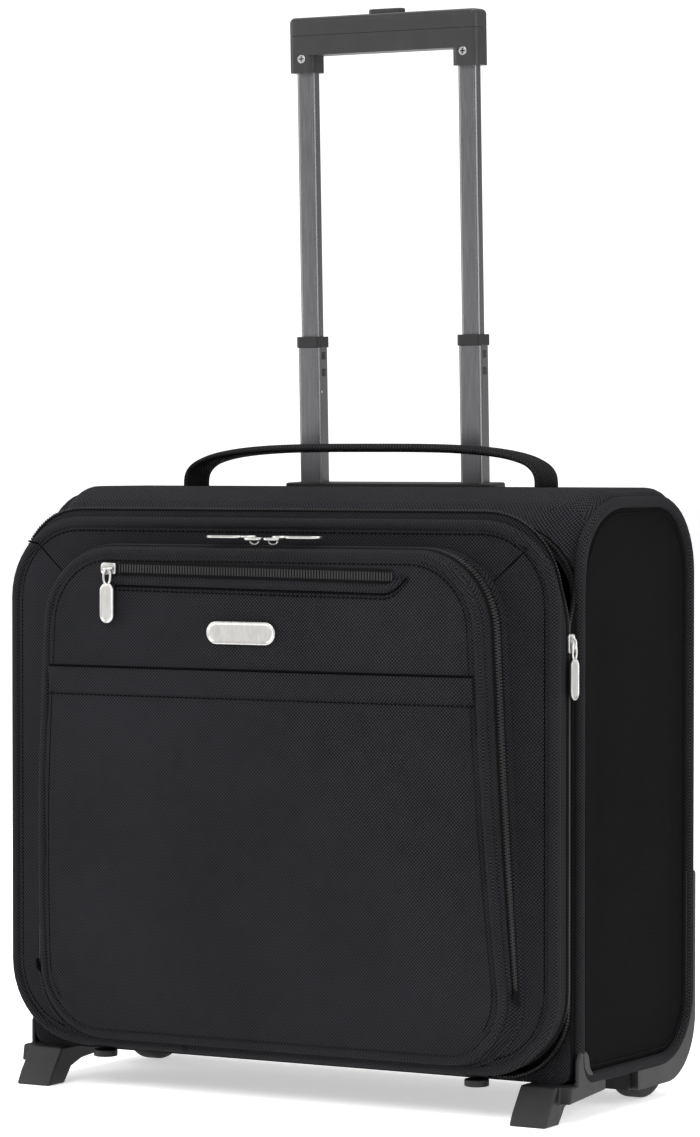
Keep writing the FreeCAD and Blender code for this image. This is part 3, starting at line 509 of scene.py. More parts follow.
def ride(piece, body, replaced=()):
    """Say which body carries a piece and hide the CAD nodes that it stands for."""
    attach(piece, body)
    if replaced:
        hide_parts(*replaced)
    return piece

# %% [markdown]
# ## Padded cloth
# Sewn panels swell a little between their seams. Each one starts as a closed slab slightly smaller than its
# room, is remeshed into even squares and blown up by the cloth solver with no gravity. Points near the seam
# are pinned, and no point may move further than a cap, so a panel stays in its own space. Then the result
# is kept.


# %% Cloth simulation
def slab(name, points, push, finish):
    """A closed slab: a flat face pushed into a solid."""
    mesh = bmesh.new()
    face = mesh.faces.new([mesh.verts.new(point) for point in points])
    made = bmesh.ops.extrude_face_region(mesh, geom=[face])
    moved = [item for item in made["geom"] if isinstance(item, bmesh.types.BMVert)]
    bmesh.ops.translate(mesh, vec=push, verts=moved)
    bmesh.ops.recalc_face_normals(mesh, faces=mesh.faces[:])
    return finish_mesh(name, mesh, [finish])


def remesh(piece, voxel):
    add_modifier(piece, "REMESH", mode="VOXEL", voxel_size=voxel, use_smooth_shade=True)
    finishes = list(piece.data.materials)
    apply_modifiers(piece)
    piece.data.materials.clear()
    for material in finishes:
        piece.data.materials.append(material)
    return piece


def swell(piece, cap, pinned, pressure=4.0):
    """Blow a remeshed pad up with the cloth solver, hold its seams and limit how far it moves."""
    start = [vert.co.copy() for vert in piece.data.vertices]
    seam = piece.vertex_groups.new(name="seam")
    seam.add([index for index, place in enumerate(start) if pinned(place)], 1.0, "REPLACE")
    cloth = add_modifier(piece, "CLOTH").settings
    cloth.use_pressure = True
    cloth.uniform_pressure_force = pressure
    cloth.effector_weights.gravity = 0
    cloth.vertex_group_mass = "seam"
    cloth.quality = 4
    for step in range(1, 21):
        scene.frame_set(step)
    apply_modifiers(piece)
    scene.frame_set(1)
    furthest = 0.0
    for vert, before in zip(piece.data.vertices, start):
        move = vert.co - before
        if move.length > cap:
            vert.co = before + move * (cap / move.length)
        furthest = max(furthest, (vert.co - before).length)
    print(piece.name, "swelled by up to", round(furthest * 1000, 1), "mm")
    return piece


def polish(piece):
    """One subdivision for a smooth silhouette."""
    add_modifier(piece, "SUBSURF", levels=1, render_levels=1)
    apply_modifiers(piece)
    for face in piece.data.polygons:
        face.use_smooth = True
    return piece


def near_line(points, reach):
    """A test for places that lie within reach of a chain of points."""
    tree = KDTree(len(points))
    for index, point in enumerate(points):
        tree.insert(point, index)
    tree.balance()
    return lambda place: tree.find(place)[2] < reach


def surface_of(piece):
    """A finder for a finished piece's front skin: depth(x, z) is the y that a ray from the front meets."""
    tree = BVHTree.FromObject(piece, bpy.context.evaluated_depsgraph_get())

    def depth(across, level, fallback=-0.1):
        hit = tree.ray_cast(Vector((across, -0.4, level)), Vector((0, 1, 0)))[0]
        return hit.y if hit else fallback
    return depth


# %% [markdown]
# ## Strips, chains and stitches between two outlines
# Tapes, hems and zip chains all run between a near line and a far line. One helper lays a ribbon between
# them, another sets a tooth or a stitch every few millimetres, so each seam needs only its two lines.


# %% Strip helpers
CASE_MIDDLE = Vector((0, 0, 0.22))


def between(near, far, part, lift=0.0):
    """The line part of the way from near to far, lifted away from the middle of the case."""
    line = []
    for index, (first, second) in enumerate(zip(near, far)):
        along = near[(index + 1) % len(near)] - near[index - 1]
        up = along.cross(second - first).normalized()
        if up.dot(first - CASE_MIDDLE) < 0:
            up.negate()
        line.append(first.lerp(second, part) + up * lift)
    return line


def ribbon(name, near, far, section, finish, closed=True):
    """A strip between two lines; section lists (part across, lift) pairs."""
    mesh = bmesh.new()
    skin(mesh, [between(near, far, part, lift) for part, lift in section], closed)
    recalc(mesh)
    return finish_mesh(name, mesh, [finish])


def open_run(points, keep):
    """The stretch of a closed line where keep(point) holds, in order, as indices."""
    count = len(points)
    start = next(index for index in range(count) if keep(points[index]) and not keep(points[index - 1]))
    run = []
    while keep(points[start % count]) and len(run) < count:
        run.append(start % count)
        start += 1
    return run


def teeth(name, near, far, pitch, size, finish, closed=True, lift=0.0, centre=CASE_MIDDLE,
          start=0.0):
    """A bar every pitch across the strip between two lines; size is (along, share across, height)."""
    mesh = bmesh.new()
    pairs = list(zip(near, far))
    ahead = pairs[1:] + (pairs[:1] if closed else [])
    wait = start
    for (near_a, far_a), (near_b, far_b) in zip(pairs, ahead):
        middle_a = near_a.lerp(far_a, 0.5)
        middle_b = near_b.lerp(far_b, 0.5)
        length = (middle_b - middle_a).length
        while wait < length:
            share = wait / length
            low = near_a.lerp(near_b, share)
            high = far_a.lerp(far_b, share)
            across = high - low
            along = (middle_b - middle_a).normalized()
            up = along.cross(across).normalized()
            if up.dot(low - centre) < 0:
                up.negate()
            wide = across.length * size[1]
            turn = Matrix((along, across.normalized(), up)).transposed().to_4x4()
            made = bmesh.ops.create_cube(mesh, size=1.0)["verts"]
            bmesh.ops.scale(mesh, vec=(size[0], wide, size[2]), verts=made)
            shift = Matrix.Translation(low.lerp(high, 0.5) + up * lift)
            bmesh.ops.transform(mesh, matrix=shift @ turn, verts=made)
            wait += pitch
        wait -= length
    bmesh.ops.recalc_face_normals(mesh, faces=mesh.faces[:])
    return finish_mesh(name, mesh, [finish], smooth=False)


COIL_PITCH = 0.0022


def zip_chain(name, near, far, body, closed=False):
    """A closed zip: a tape ribbon with two interlocked rows of coil down its middle."""
    tape = ribbon(name + "_tape", near, far, [(0.0, 0.0), (0.05, 0.0006), (0.95, 0.0006), (1.0, 0.0)], "tape",
                  closed)
    ride(tape, body)
    for row, shares in enumerate(((0.24, 0.52), (0.48, 0.76))):
        low, high = [between(near, far, share) for share in shares]
        coil = teeth("%s_coil_%d" % (name, row), low, high, COIL_PITCH, (0.0012, 1.0, 0.0014), "coil", closed,
                     lift=0.0008, start=row * COIL_PITCH / 2)
        ride(coil, body)


# %% [markdown]
# ## The case's cloth shell
# The real case is a cloth box sewn over a light frame: low round shoulders at its mouth rise to a square
# ridge near the pull handle, and the back turns down in a wide curve. A run of rounded outlines, bridged
# from the mouth backwards, gives that shape in one skin. A second, smaller run makes the lining.

# %% Shell sizes
SIDE = 0.218
MOUTH = -0.066
CREST = 0.005
BACK = 0.112
LOW = 0.026
TOP = 0.427
MOUTH_TOP = 0.402
MOUTH_ROUND = 0.055
RIDGE_ROUND = 0.012
REAR_ROUND = 0.045
OPEN_LEVEL = 0.331
MOUTH_SLACK = 0.0120
WELL_INNER = 0.184
WELL_OUTER = 0.2135
WELL_FRONT = 0.027
WELL_ROOF = 0.074
BEZEL_GAP_HALF = 0.084
BEZEL_GAP_NEAR = 0.064
BEZEL_GAP_FAR = 0.092


def opened(level):
    """How far the zip has parted at one height: 0 at the sliders and 1 a hand's width above them."""
    share = min(max((level - OPEN_LEVEL) / 0.034, 0.0), 1.0)
    return share * share * (3 - 2 * share)


def crown(depth):
    """Height, corner radius and half width of the shell at one depth."""
    share = min(max((depth - MOUTH) / (CREST - MOUTH), 0.0), 1.0)
    rise = math.sin(share * math.pi / 2)
    top = MOUTH_TOP + (TOP - MOUTH_TOP) * rise
    corner = MOUTH_ROUND + (RIDGE_ROUND - MOUTH_ROUND) * rise
    return top, corner, 0.2165 + 0.0015 * min(1.0, 2 * rise)


def shell_loops(inset):
    loops = []
    for step in range(13):
        depth = MOUTH + (CREST - MOUTH) * step / 12
        top, corner, half = crown(depth)
        points = front_loop(depth, half - inset, LOW + inset, top - inset, 0.010, corner, cuts=35)
        fade = max(0.0, 1.0 - (depth - MOUTH) / 0.030)
        loops.append([point + Vector((0, MOUTH_SLACK * opened(point.z) * fade, 0)) for point in points])
    turn = REAR_ROUND - inset
    start = BACK - REAR_ROUND
    depths = [0.026, 0.047] + [start + turn * math.sin(math.radians(step * 9)) for step in range(11)]
    drops = [0.0, 0.0] + [turn * (1 - math.cos(math.radians(step * 9))) for step in range(11)]
    for depth, drop in zip(depths, drops):
        loops.append(front_loop(depth, SIDE - inset, LOW + inset + drop, TOP - inset - drop, 0.010,
                                RIDGE_ROUND, cuts=35))
    return loops


def shell_side(depth, level):
    """How far out the shell's skin stands at a depth and level near its side."""
    top, corner, half = crown(depth)
    above = level - (top - corner)
    if above <= 0:
        return half
    return half - corner + math.sqrt(max(corner ** 2 - above ** 2, 0.0))


# %% Shell and lining
def cut_away(mesh, planes, gone):
    """Slice a mesh by planes, given as (place, normal), and delete the faces whose centre gone() picks."""
    for place, normal in planes:
        bmesh.ops.bisect_plane(mesh, geom=mesh.verts[:] + mesh.edges[:] + mesh.faces[:], plane_co=place,
                               plane_no=normal, dist=0.00001)
    faces = [face for face in mesh.faces if gone(face.calc_center_median())]
    bmesh.ops.delete(mesh, geom=faces, context="FACES")


def shell_skin(inset):
    """The shell's skin with a gap for each wheel well and one under the pull handle's bezel."""
    mesh = bmesh.new()
    rings = skin(mesh, shell_loops(inset))
    bmesh.ops.contextual_create(mesh, geom=rings[-1])
    recalc(mesh)
    inner_x = WELL_INNER - inset
    outer_x = WELL_OUTER - inset
    front_y = WELL_FRONT - inset
    roof = WELL_ROOF + inset
    planes = [((x, 0, 0), (1, 0, 0))
              for x in (-outer_x, -inner_x, inner_x, outer_x, -BEZEL_GAP_HALF, BEZEL_GAP_HALF)]
    planes += [((0, y, 0), (0, 1, 0)) for y in (front_y, BEZEL_GAP_NEAR, BEZEL_GAP_FAR)]
    planes.append(((0, 0, roof), (0, 0, 1)))

    def gone(at):
        in_well = inner_x < abs(at.x) < outer_x + inset and at.y > front_y and at.z < roof
        in_gap = abs(at.x) < BEZEL_GAP_HALF and BEZEL_GAP_NEAR < at.y < BEZEL_GAP_FAR and at.z > 0.3
        return in_well or in_gap

    cut_away(mesh, planes, gone)
    return mesh


outer = shell_skin(0.0)
for face in outer.faces:
    face.material_index = 1 if abs(face.normal.x) > 0.8 or face.normal.y > 0.9 else 0
shell = finish_mesh("case_shell", outer, ["ballistic", "side"])
ride(shell, "case",
     ["top_panel", "bottom_panel", "side_panel_left", "side_panel_right", "back_panel"])
inner = shell_skin(0.0035)
bmesh.ops.reverse_faces(inner, faces=inner.faces[:])
ride(finish_mesh("case_lining", inner, ["lining"]), "case")
print("shell faces", len(shell.data.polygons))

# %% [markdown]
# ## Side panels and their welts
# Each side is a separate panel of finer cloth, sewn to the wrap with a thick piped seam. The seam turns
# wide corners at the top, so the shoulder between seam and mouth belongs to the wrap. The panel is a
# swelled slab inside that seam.


# %% Side seams
SEAM_FRONT = -0.0555
SEAM_TOP = 0.4175
WELT = 0.0042


def side_loop(sign, grow=0.0, at=None, cuts=30):
    """The side seam's outline, lying on the shell's skin or at a fixed distance from the middle."""
    corners = [(0, SEAM_FRONT + grow, LOW + 0.002 + grow), (0, BACK - grow, LOW + 0.002 + grow),
               (0, BACK - grow, SEAM_TOP - grow), (0, SEAM_FRONT + grow, SEAM_TOP - grow)]
    points = outline(corners, (0.014, REAR_ROUND - grow, 0.050 - grow, 0.062 - grow), 12, cuts)
    return [Vector((sign * (at or shell_side(point.y, point.z)), point.y, point.z)) for point in points]


for side, sign in (("left", -1), ("right", 1)):
    line = side_loop(sign)
    welt = rope("side_welt_" + side, [point + Vector((sign * 0.0003, 0, 0)) for point in line], WELT, "welt")
    ride(welt, "case")
    pad = slab("side_cloth_" + side, side_loop(sign, 0.0012, 0.2172), (-sign * 0.005, 0, 0), "side")
    remesh(pad, 0.0055)
    at_seam = near_line(side_loop(sign, 0.0012, 0.2172) + side_loop(sign, 0.0012, 0.2122), 0.008)
    swell(pad, 0.0026, at_seam, 3.0)
    polish(pad)
    ride(pad, "case")
    near = side_loop(sign, 0.0075, 0.2187)
    far = side_loop(sign, 0.0082, 0.2187)
    ride(teeth("side_stitch_" + side, near, far, 0.0042, (0.0030, 1.0, 0.0006), "thread",
               centre=Vector((0, 0.03, 0.2))), "case")
print("side panels", 2)

# %% [markdown]
# ## The mouth's zip
# A zip runs round the mouth. Below the two sliders it is closed and ties the front panel to the case. Above
# them it is open, and its two edges part where the panel leans forward. Each edge carries half of the coil,
# so both halves move with the part that they are sewn to.

# %% Mouth zip
MOUTH_HALF = 0.2168
MOUTH_LOW = 0.0285


def mouth_loop(depth, grow=0.0, cuts=35):
    points = front_loop(depth, MOUTH_HALF + grow, MOUTH_LOW - grow, MOUTH_TOP + 0.0005 + grow, 0.050,
                        MOUTH_ROUND, 8, cuts)
    return [point + Vector((0, MOUTH_SLACK * opened(point.z), 0)) for point in points]


mouth_back = mouth_loop(-0.0655)
mouth_front = mouth_loop(-0.0692, -0.0004)
mouth_tape = ribbon("mouth_tape", mouth_back, mouth_front,
                    [(0, 0), (0.1, 0.0005), (1.0, 0.0005), (1.0, -0.0010), (0.0, -0.0010)], "tape")
ride(mouth_tape, "case", ["mouth_zip"])
mouth_coil = teeth("mouth_coil", mouth_loop(-0.0686), mouth_loop(-0.0706), COIL_PITCH, (0.0012, 1.0, 0.0014),
                   "coil")
ride(mouth_coil, "case")
web = bmesh.new()
skin(web, [shell_loops(0.0)[0], mouth_loop(-0.0662, -0.0002), mouth_loop(-0.0620, -0.0010)])
recalc(web)
ride(finish_mesh("mouth_corner_web", web, ["ballistic"]), "case")
mouth_lip = rope("mouth_lip", mouth_loop(-0.0655, 0.0004), 0.0011, "side")
ride(mouth_lip, "case")
print("mouth coil teeth", len(mouth_coil.data.polygons) // 6)

# %% [markdown]
# ## Front panel
# The front panel is a flap that hinges on a fold at its foot. Its cloth is a swelled slab inside a piped
# edge. Behind the piping a narrow gusset runs back to the zip; above the sliders the zip is open, so the
# gusset's edge turns outwards. Two mitre seams cross the panel's upper corners, each drawn as a thin
# near-black rope of painted shade.

# %% Panel outline
PANEL_HALF = 0.216
PANEL_LOW = 0.0355
PANEL_TOP = 0.402
PANEL_ROUND = 0.054


def panel_loop(depth, grow=0.0, cuts=36):
    return front_loop(depth, PANEL_HALF + grow, PANEL_LOW - grow, PANEL_TOP + grow, PANEL_ROUND + grow,
                      PANEL_ROUND + grow, 12, cuts)


welt = rope("panel_welt", panel_loop(-0.0880), 0.0041, "welt")
ride(welt, "front_panel", ["panel_piping"])
joint_at = Vector((-0.075, -0.0880, 0.0355))
wrap = rope("panel_welt_joint", [joint_at, joint_at + Vector((0.004, 0, 0.0005))], 0.00445, "webbing", False)
ride(wrap, "front_panel")

panel = slab("panel_cloth", panel_loop(-0.0912, 0.0006), (0, 0.0066, 0), "ballistic")
remesh(panel, 0.0055)
swell(panel, 0.0022, near_line(panel_loop(-0.0912, 0.0006) + panel_loop(-0.0846, 0.0006), 0.010), 3.0)
polish(panel)
ride(panel, "front_panel", ["front_panel"])
panel.data.materials.append(FINISH["lining"])
for face in panel.data.polygons:
    face.material_index = 1 if face.normal.y > 0.5 else 0


# %% Gusset and its zip edge
def flared(share):
    """The gusset's line, a share of the way from the piping to the zip.

    Where the zip is closed it runs straight back; where it is open the cloth turns outwards, most at the top.
    """
    shut = panel_loop(-0.0872 + 0.0166 * share, 0.0014 * min(1.0, 4 * share))
    side = panel_loop(-0.0872 + 0.0068 * share, 0.0018 * share)
    crest = panel_loop(-0.0868 + 0.0030 * share, 0.0105 * share)
    points = []
    for first, second, third in zip(shut, side, crest):
        rise = min(max((first.z - 0.360) / 0.040, 0.0), 1.0)
        points.append(first.lerp(second.lerp(third, rise), opened(first.z)))
    return points


gusset = bmesh.new()
skin(gusset, [flared(share) for share in (0.0, 0.25, 0.5, 0.85)])
recalc(gusset)
gusset = finish_mesh("panel_gusset_cloth", gusset, ["ballistic"])
add_modifier(gusset, "SOLIDIFY", thickness=0.0014, offset=-1)
ride(apply_modifiers(gusset), "front_panel", ["panel_gusset"])
edge_tape = ribbon("panel_zip_edge", flared(0.80), flared(0.98),
                   [(0, 0), (0, 0.0006), (0.9, 0.0006), (1.0, 0.0), (1.0, -0.0008), (0, -0.0008)], "tape")
ride(edge_tape, "front_panel", ["panel_zip"])
panel_coil = teeth("panel_zip_coil", flared(0.90), flared(1.01), COIL_PITCH, (0.0012, 1.0, 0.0016), "coil",
                   lift=0.0004)
ride(panel_coil, "front_panel")
fold = ribbon("fold_strip", [Vector((x / 100, -0.0845, 0.0325)) for x in range(-16, 17)],
              [Vector((x / 100, -0.0640, 0.0262)) for x in range(-16, 17)],
              [(0, 0), (0.4, 0.0012), (1, 0)], "ballistic", closed=False)
ride(fold, "case")
print("front panel teeth", len(panel_coil.data.polygons) // 6)

# %% [markdown]
# ## The front pocket
# The pocket is a bellied box of heavy cloth: wider at its foot, full in the middle and drawn in at its toe.
# Its front is a swelled slab bent to that belly, held flat where the small zip's tape stiffens it, so that
# the slider has a level run. A slanted gusset joins it to the panel and carries an arched zip that starts
# and ends near the foot.

# %% Pocket outline and belly
POCKET_LOW = 0.038
POCKET_TOP = 0.385
POCKET_HALF_LOW = 0.189
POCKET_HALF_TOP = 0.172
POCKET_ROUND = 0.052


def belly(level):
    """Depth of the pocket's front at one height."""
    share = min(max((level - POCKET_LOW) / 0.235, 0.0), 1.0)
    return -0.0985 - 0.0185 * math.sin(share * math.pi / 2)


def pocket_loop(inset=0.0, depth=None, behind=0.0, cuts=30):
    """The pocket's outline at one depth, or following its belly at a distance behind it."""
    low = POCKET_LOW + inset
    top = POCKET_TOP - inset
    corners = [(inset - POCKET_HALF_LOW, 0, low), (POCKET_HALF_LOW - inset, 0, low),
               (POCKET_HALF_TOP - inset, 0, top), (inset - POCKET_HALF_TOP, 0, top)]
    radius = max(POCKET_ROUND - inset, 0.004)
    points = outline(corners, [radius] * 4, 12, cuts)
    return [Vector((point.x, belly(point.z) + behind if depth is None else depth, point.z))
            for point in points]


flat = slab("pocket_cloth", pocket_loop(0.0030, -0.1170), (0, 0.006, 0), "ballistic")
remesh(flat, 0.0050)
for vert in flat.data.vertices:
    vert.co.y += belly(vert.co.z) + 0.1172
at_seam = near_line(pocket_loop(0.0030) + pocket_loop(0.0030, behind=0.006), 0.010)
swell(flat, 0.0028, lambda place: at_seam(place) or abs(place.x) < 0.135 and place.z > 0.350, 3.5)
pocket = polish(flat)
ride(pocket, "front_panel", ["pocket_front"])
welt = rope("pocket_welt", pocket_loop(0.0030, behind=0.0032), 0.0035, "welt")
ride(welt, "front_panel", ["pocket_piping"])
face_at = surface_of(pocket)
print("pocket front from", round(face_at(0, 0.07), 4), "to", round(face_at(0, 0.30), 4))

# %% Slanted gusset
front_edge = pocket_loop(0.0005, behind=0.0045)
rear_edge = [Vector((point.x + 0.0095 * max(-1, min(1, point.x / 0.15)), -0.0915,
                     point.z + 0.0045 * max(0, min(1, (point.z - 0.3) / 0.08)) - 0.002))
             for point in pocket_loop(0.0005, -0.0915)]
sleeve = ribbon("pocket_gusset_cloth", front_edge, rear_edge,
                [(0, 0), (0.12, 0.0008), (0.30, 0.0006), (0.31, -0.0004), (0.69, -0.0004), (0.70, 0.0006),
                 (0.88, 0.0010), (1.0, 0.0004), (1.0, -0.003), (0, -0.003)], "ballistic")
ride(sleeve, "front_panel", ["pocket_gusset"])

# %% Arched zip
ZIP_FOOT = 0.088
run = open_run(front_edge, lambda point: point.z > ZIP_FOOT)
arch_near = [between(front_edge, rear_edge, 0.31)[index] for index in run]
arch_far = [between(front_edge, rear_edge, 0.69)[index] for index in run]
zip_chain("arch_zip", arch_near, arch_far, "front_panel")
for number, end in enumerate((0, -1)):
    tab_at = arch_near[end].lerp(arch_far[end], 0.5)
    sign = 1 if tab_at.x > 0 else -1
    proud = Vector((sign * 0.0012, 0, 0))
    corners = [Vector((sign * 0.0002, 0.004, -0.010)), Vector((0, -0.0045, -0.004)),
               Vector((0, -0.0045, 0.003)), Vector((0, 0.0045, 0.001))]
    tab = slab("arch_zip_tab_%d" % number, [tab_at + corner + proud for corner in corners],
               (sign * 0.0010, 0, 0), "tape")
    ride(tab, "front_panel")
print("arch zip spans", len(run), "points")

# %% [markdown]
# ## Seams, hem and the small zip
# Rows of short stitches hold every edge of this case, so they are set as separate threads that lie on the
# swelled cloth. A folded hem crosses the pocket, and a small straight zip with a padded lip opens its top.


# %% Lines on the pocket's face
def on_face(places, lift=0.0, depth=None):
    """Put (x, z) places on a finished face, lifted forward."""
    find = depth or face_at
    return [Vector((x, find(x, z) - lift, z)) for x, z in places]


def level_line(low_x, high_x, low_z, high_z, steps=44):
    return [(low_x + (high_x - low_x) * step / steps, low_z + (high_z - low_z) * step / steps)
            for step in range(steps + 1)]


STITCH_WIDE = 0.0010


def stitch_row(name, places, depth=None, closed=False):
    near = on_face(places, 0.0001, depth)
    far = [point + Vector((0, 0, STITCH_WIDE)) for point in near]
    row = teeth(name, near, far, 0.0036, (0.0022, 1.0, 0.0010), "seam", closed, centre=Vector((0, 0.2, 0.2)))
    return ride(row, "front_panel")


def face_skin(name, lines, finish, replaced=()):
    """A strip sewn on the pocket's face, bridged from line to line."""
    mesh = bmesh.new()
    skin(mesh, lines, closed=False)
    recalc(mesh)
    if sum(face.normal.y for face in mesh.faces) > 0:
        bmesh.ops.reverse_faces(mesh, faces=mesh.faces[:])
    return ride(finish_mesh(name, mesh, [finish]), "front_panel", replaced)


HEM_HALF = 0.1695
HEM_PROFILE = ((0.3012, -0.0008), (0.3008, 0.0020), (0.2996, 0.0025), (0.2920, 0.0015), (0.2850, 0.0008),
               (0.2834, -0.0006))
face_skin("hem_band", [on_face(level_line(-HEM_HALF, HEM_HALF, level, level), lift)
                       for level, lift in HEM_PROFILE], "ballistic", replaced=["pocket_band"])
# A near-black rope just above the hem band: painted shade under its fold.
hem_fold_shade_line = rope("hem_fold_shadow", on_face(level_line(-HEM_HALF, HEM_HALF, 0.3019, 0.3019), -0.0002),
                 0.0009, "seam", False)
ride(hem_fold_shade_line, "front_panel")
stitch_row("hem_stitch_upper", level_line(-HEM_HALF, HEM_HALF, 0.2868, 0.2868))
stitch_row("hem_stitch_lower", level_line(-HEM_HALF, HEM_HALF, 0.2815, 0.2815))

# %% Small zip and its lip
ZIP_LOW_X = -0.110
ZIP_HIGH_X = 0.108
ZIP_DROP = 0.003
ZIP_PROFILE = ((0.3763, -0.0006), (0.3756, 0.0005), (0.3663, 0.0005), (0.3656, -0.0006))


def zip_line(level, lift):
    """A line along the small zip, which slopes down to the right."""
    return on_face(level_line(ZIP_LOW_X, ZIP_HIGH_X, level, level - ZIP_DROP), lift)


face_skin("small_zip_tape", [zip_line(level, lift) for level, lift in ZIP_PROFILE], "tape")
ride(teeth("small_zip_coil", zip_line(0.3680, 0.0006), zip_line(0.3736, 0.0006), COIL_PITCH,
           (0.0012, 1.0, 0.0014), "coil", False, centre=Vector((0, 0.2, 0.2))), "front_panel")
LIP_TURN = 0.101


def lip_line(level, reach, steps=60):
    """A line along the lip: it follows the small zip and sweeps up to the piping at its far end."""
    places = []
    for x, z in level_line(ZIP_LOW_X - 0.004, ZIP_HIGH_X + reach, level, level - ZIP_DROP, steps):
        past = max(0.0, (x - LIP_TURN) / (ZIP_HIGH_X + 0.014 - LIP_TURN))
        places.append((x, z + 0.0150 * past ** 1.8))
    return places


LIP_PROFILE = ((0.3654, 0.002, -0.0004), (0.3647, 0.003, 0.0020), (0.3632, 0.006, 0.0028),
               (0.3606, 0.010, 0.0020), (0.3590, 0.011, -0.0004))
face_skin("small_zip_lip", [on_face(lip_line(level, reach), lift) for level, reach, lift in LIP_PROFILE],
          "ballistic")
lip_shadow = rope("lip_fold_shadow", on_face(lip_line(0.3586, 0.011), -0.0002), 0.0007, "seam", False)
ride(lip_shadow, "front_panel")
stitch_row("lip_stitch_upper", lip_line(0.3575, 0.012))
stitch_row("lip_stitch_lower", lip_line(0.3550, 0.013))
stitch_row("zip_start_stitch", level_line(ZIP_LOW_X - 0.012, ZIP_LOW_X - 0.004, 0.3480, 0.3560, 4))

# %% Stitches round the pocket and the panel, and painted shade along the panel's mitre seams
line = pocket_loop(0.0095)
places = [(line[index].x, line[index].z) for index in open_run(line, lambda point: point.z > 0.062)]
stitch_row("pocket_stitch", places)
panel_at = surface_of(panel)
# This near-black stitch row is real thread, and it also stands in for painted shade along the inside of the
# panel's welt.
stitch_row("panel_stitch_and_shade", [(point.x, point.z) for point in panel_loop(0, -0.0062)], depth=panel_at,
           closed=True)
for side, sign in (("left", -1), ("right", 1)):
    places = level_line(sign * 0.162, sign * 0.1985, 0.3560, 0.3885, 14)
    # Each mitre seam is a near-black rope almost sunk in the cloth: painted shade in the seam's groove.
    mitre = rope("mitre_seam_shadow_" + side, on_face(places, -0.0003, panel_at), 0.0007, "seam", False)
    ride(mitre, "front_panel")
print("seams done")

# %% [markdown]
# ## Badge, sliders and pulls
# The metal trim is satin nickel. A pull is a long capsule with a dished face, hung on a small ring; a
# slider is a rounded wedge with a loop on its back. Both are made once, lying in the XZ plane, and set in
# each place.


# %% Plates
def capsule_points(half, radius, depth, steps=10):
    corners = [(-radius, depth, -half), (radius, depth, -half), (radius, depth, half), (-radius, depth, half)]
    return outline(corners, [radius * 0.999] * 4, steps)


def plate_from(name, outlines, thick, round_edge, rim, sink):
    """A plate whose face is dished inside a rim; outlines(inset, depth) gives each of its outlines."""
    mesh = bmesh.new()
    profile = [(round_edge, thick), (round_edge * 0.3, thick - round_edge * 0.3), (0.0, thick - round_edge),
               (0.0, round_edge), (round_edge * 0.3, round_edge * 0.3), (round_edge, 0.0), (rim, 0.0),
               (rim + sink * 0.5, sink * 0.3), (rim + sink * 1.2, sink * 0.9), (rim + sink * 2.0, sink)]
    rings = skin(mesh, [outlines(inset, depth) for inset, depth in profile])
    for ring in (rings[0], rings[-1]):
        bmesh.ops.contextual_create(mesh, geom=ring)
    bmesh.ops.recalc_face_normals(mesh, faces=mesh.faces[:])
    return finish_mesh(name, mesh, ["nickel"])


def placed(piece, matrix):
    piece.data.transform(matrix)
    return piece


def make_pull(name, matrix, body, replaced):
    """A pull that hangs from the origin down -Z, with its dished face towards -Y."""
    plate = plate_from(name + "_plate",
                       lambda inset, depth: capsule_points(0.0140 - inset, 0.0055 - inset, depth),
                       0.0018, 0.0004, 0.0010, 0.0004)
    placed(plate, Matrix.Translation((0, -0.001, -0.0225)))
    ring = [Vector((0.0028 * math.sin(turn * math.pi / 8), 0,
                    -0.0040 + 0.0058 * math.cos(turn * math.pi / 8))) for turn in range(16)]
    loop = rope(name + "_ring", ring, 0.0009, "nickel")
    whole = placed(join_pieces(name + "_shape", [plate, loop]), matrix)
    return ride(whole, body, [replaced])


def make_slider(name, matrix, body, replaced, length=0.013, width=0.0095):
    """A slider that runs along Z, with its back towards -Y and its nose up."""
    def wedge(inset, depth):
        low = width * 0.42 - inset
        high = width / 2 - inset
        end = length / 2 - inset
        return outline([(-low, depth, -end), (low, depth, -end), (high, depth, end), (-high, depth, end)],
                       (0.0012, 0.0012, 0.0030 - inset, 0.0030 - inset), 5)

    plate = plate_from(name + "_plate", wedge, 0.0020, 0.0005, 0.0009, 0.0003)
    arch = [Vector((0, -0.0005 - 0.0022 * math.sin(turn * math.pi / 8),
                    -0.0035 * math.cos(turn * math.pi / 8))) for turn in range(9)]
    bail = rope(name + "_bail", arch, 0.0009, "nickel", False)
    whole = placed(join_pieces(name + "_shape", [plate, bail]), matrix)
    return ride(whole, body, [replaced])


# %% Set the hardware in place
def turn_and_move(x, y, z, spin_z=0.0, spin_y=0.0):
    turn = Euler((0, math.radians(spin_y), math.radians(spin_z)), "XYZ")
    return Matrix.Translation((x, y, z)) @ turn.to_matrix().to_4x4()


def lay_flat(place, sign):
    """Lay a piece that hangs down -Z along X, pointing out to its own side, with its dished face down."""
    along = Euler((0, math.radians(-90 * sign), 0)).to_matrix().to_4x4()
    roll = Euler((0, 0, math.radians(-90 * sign))).to_matrix().to_4x4()
    return Matrix.Translation(place) @ along @ roll


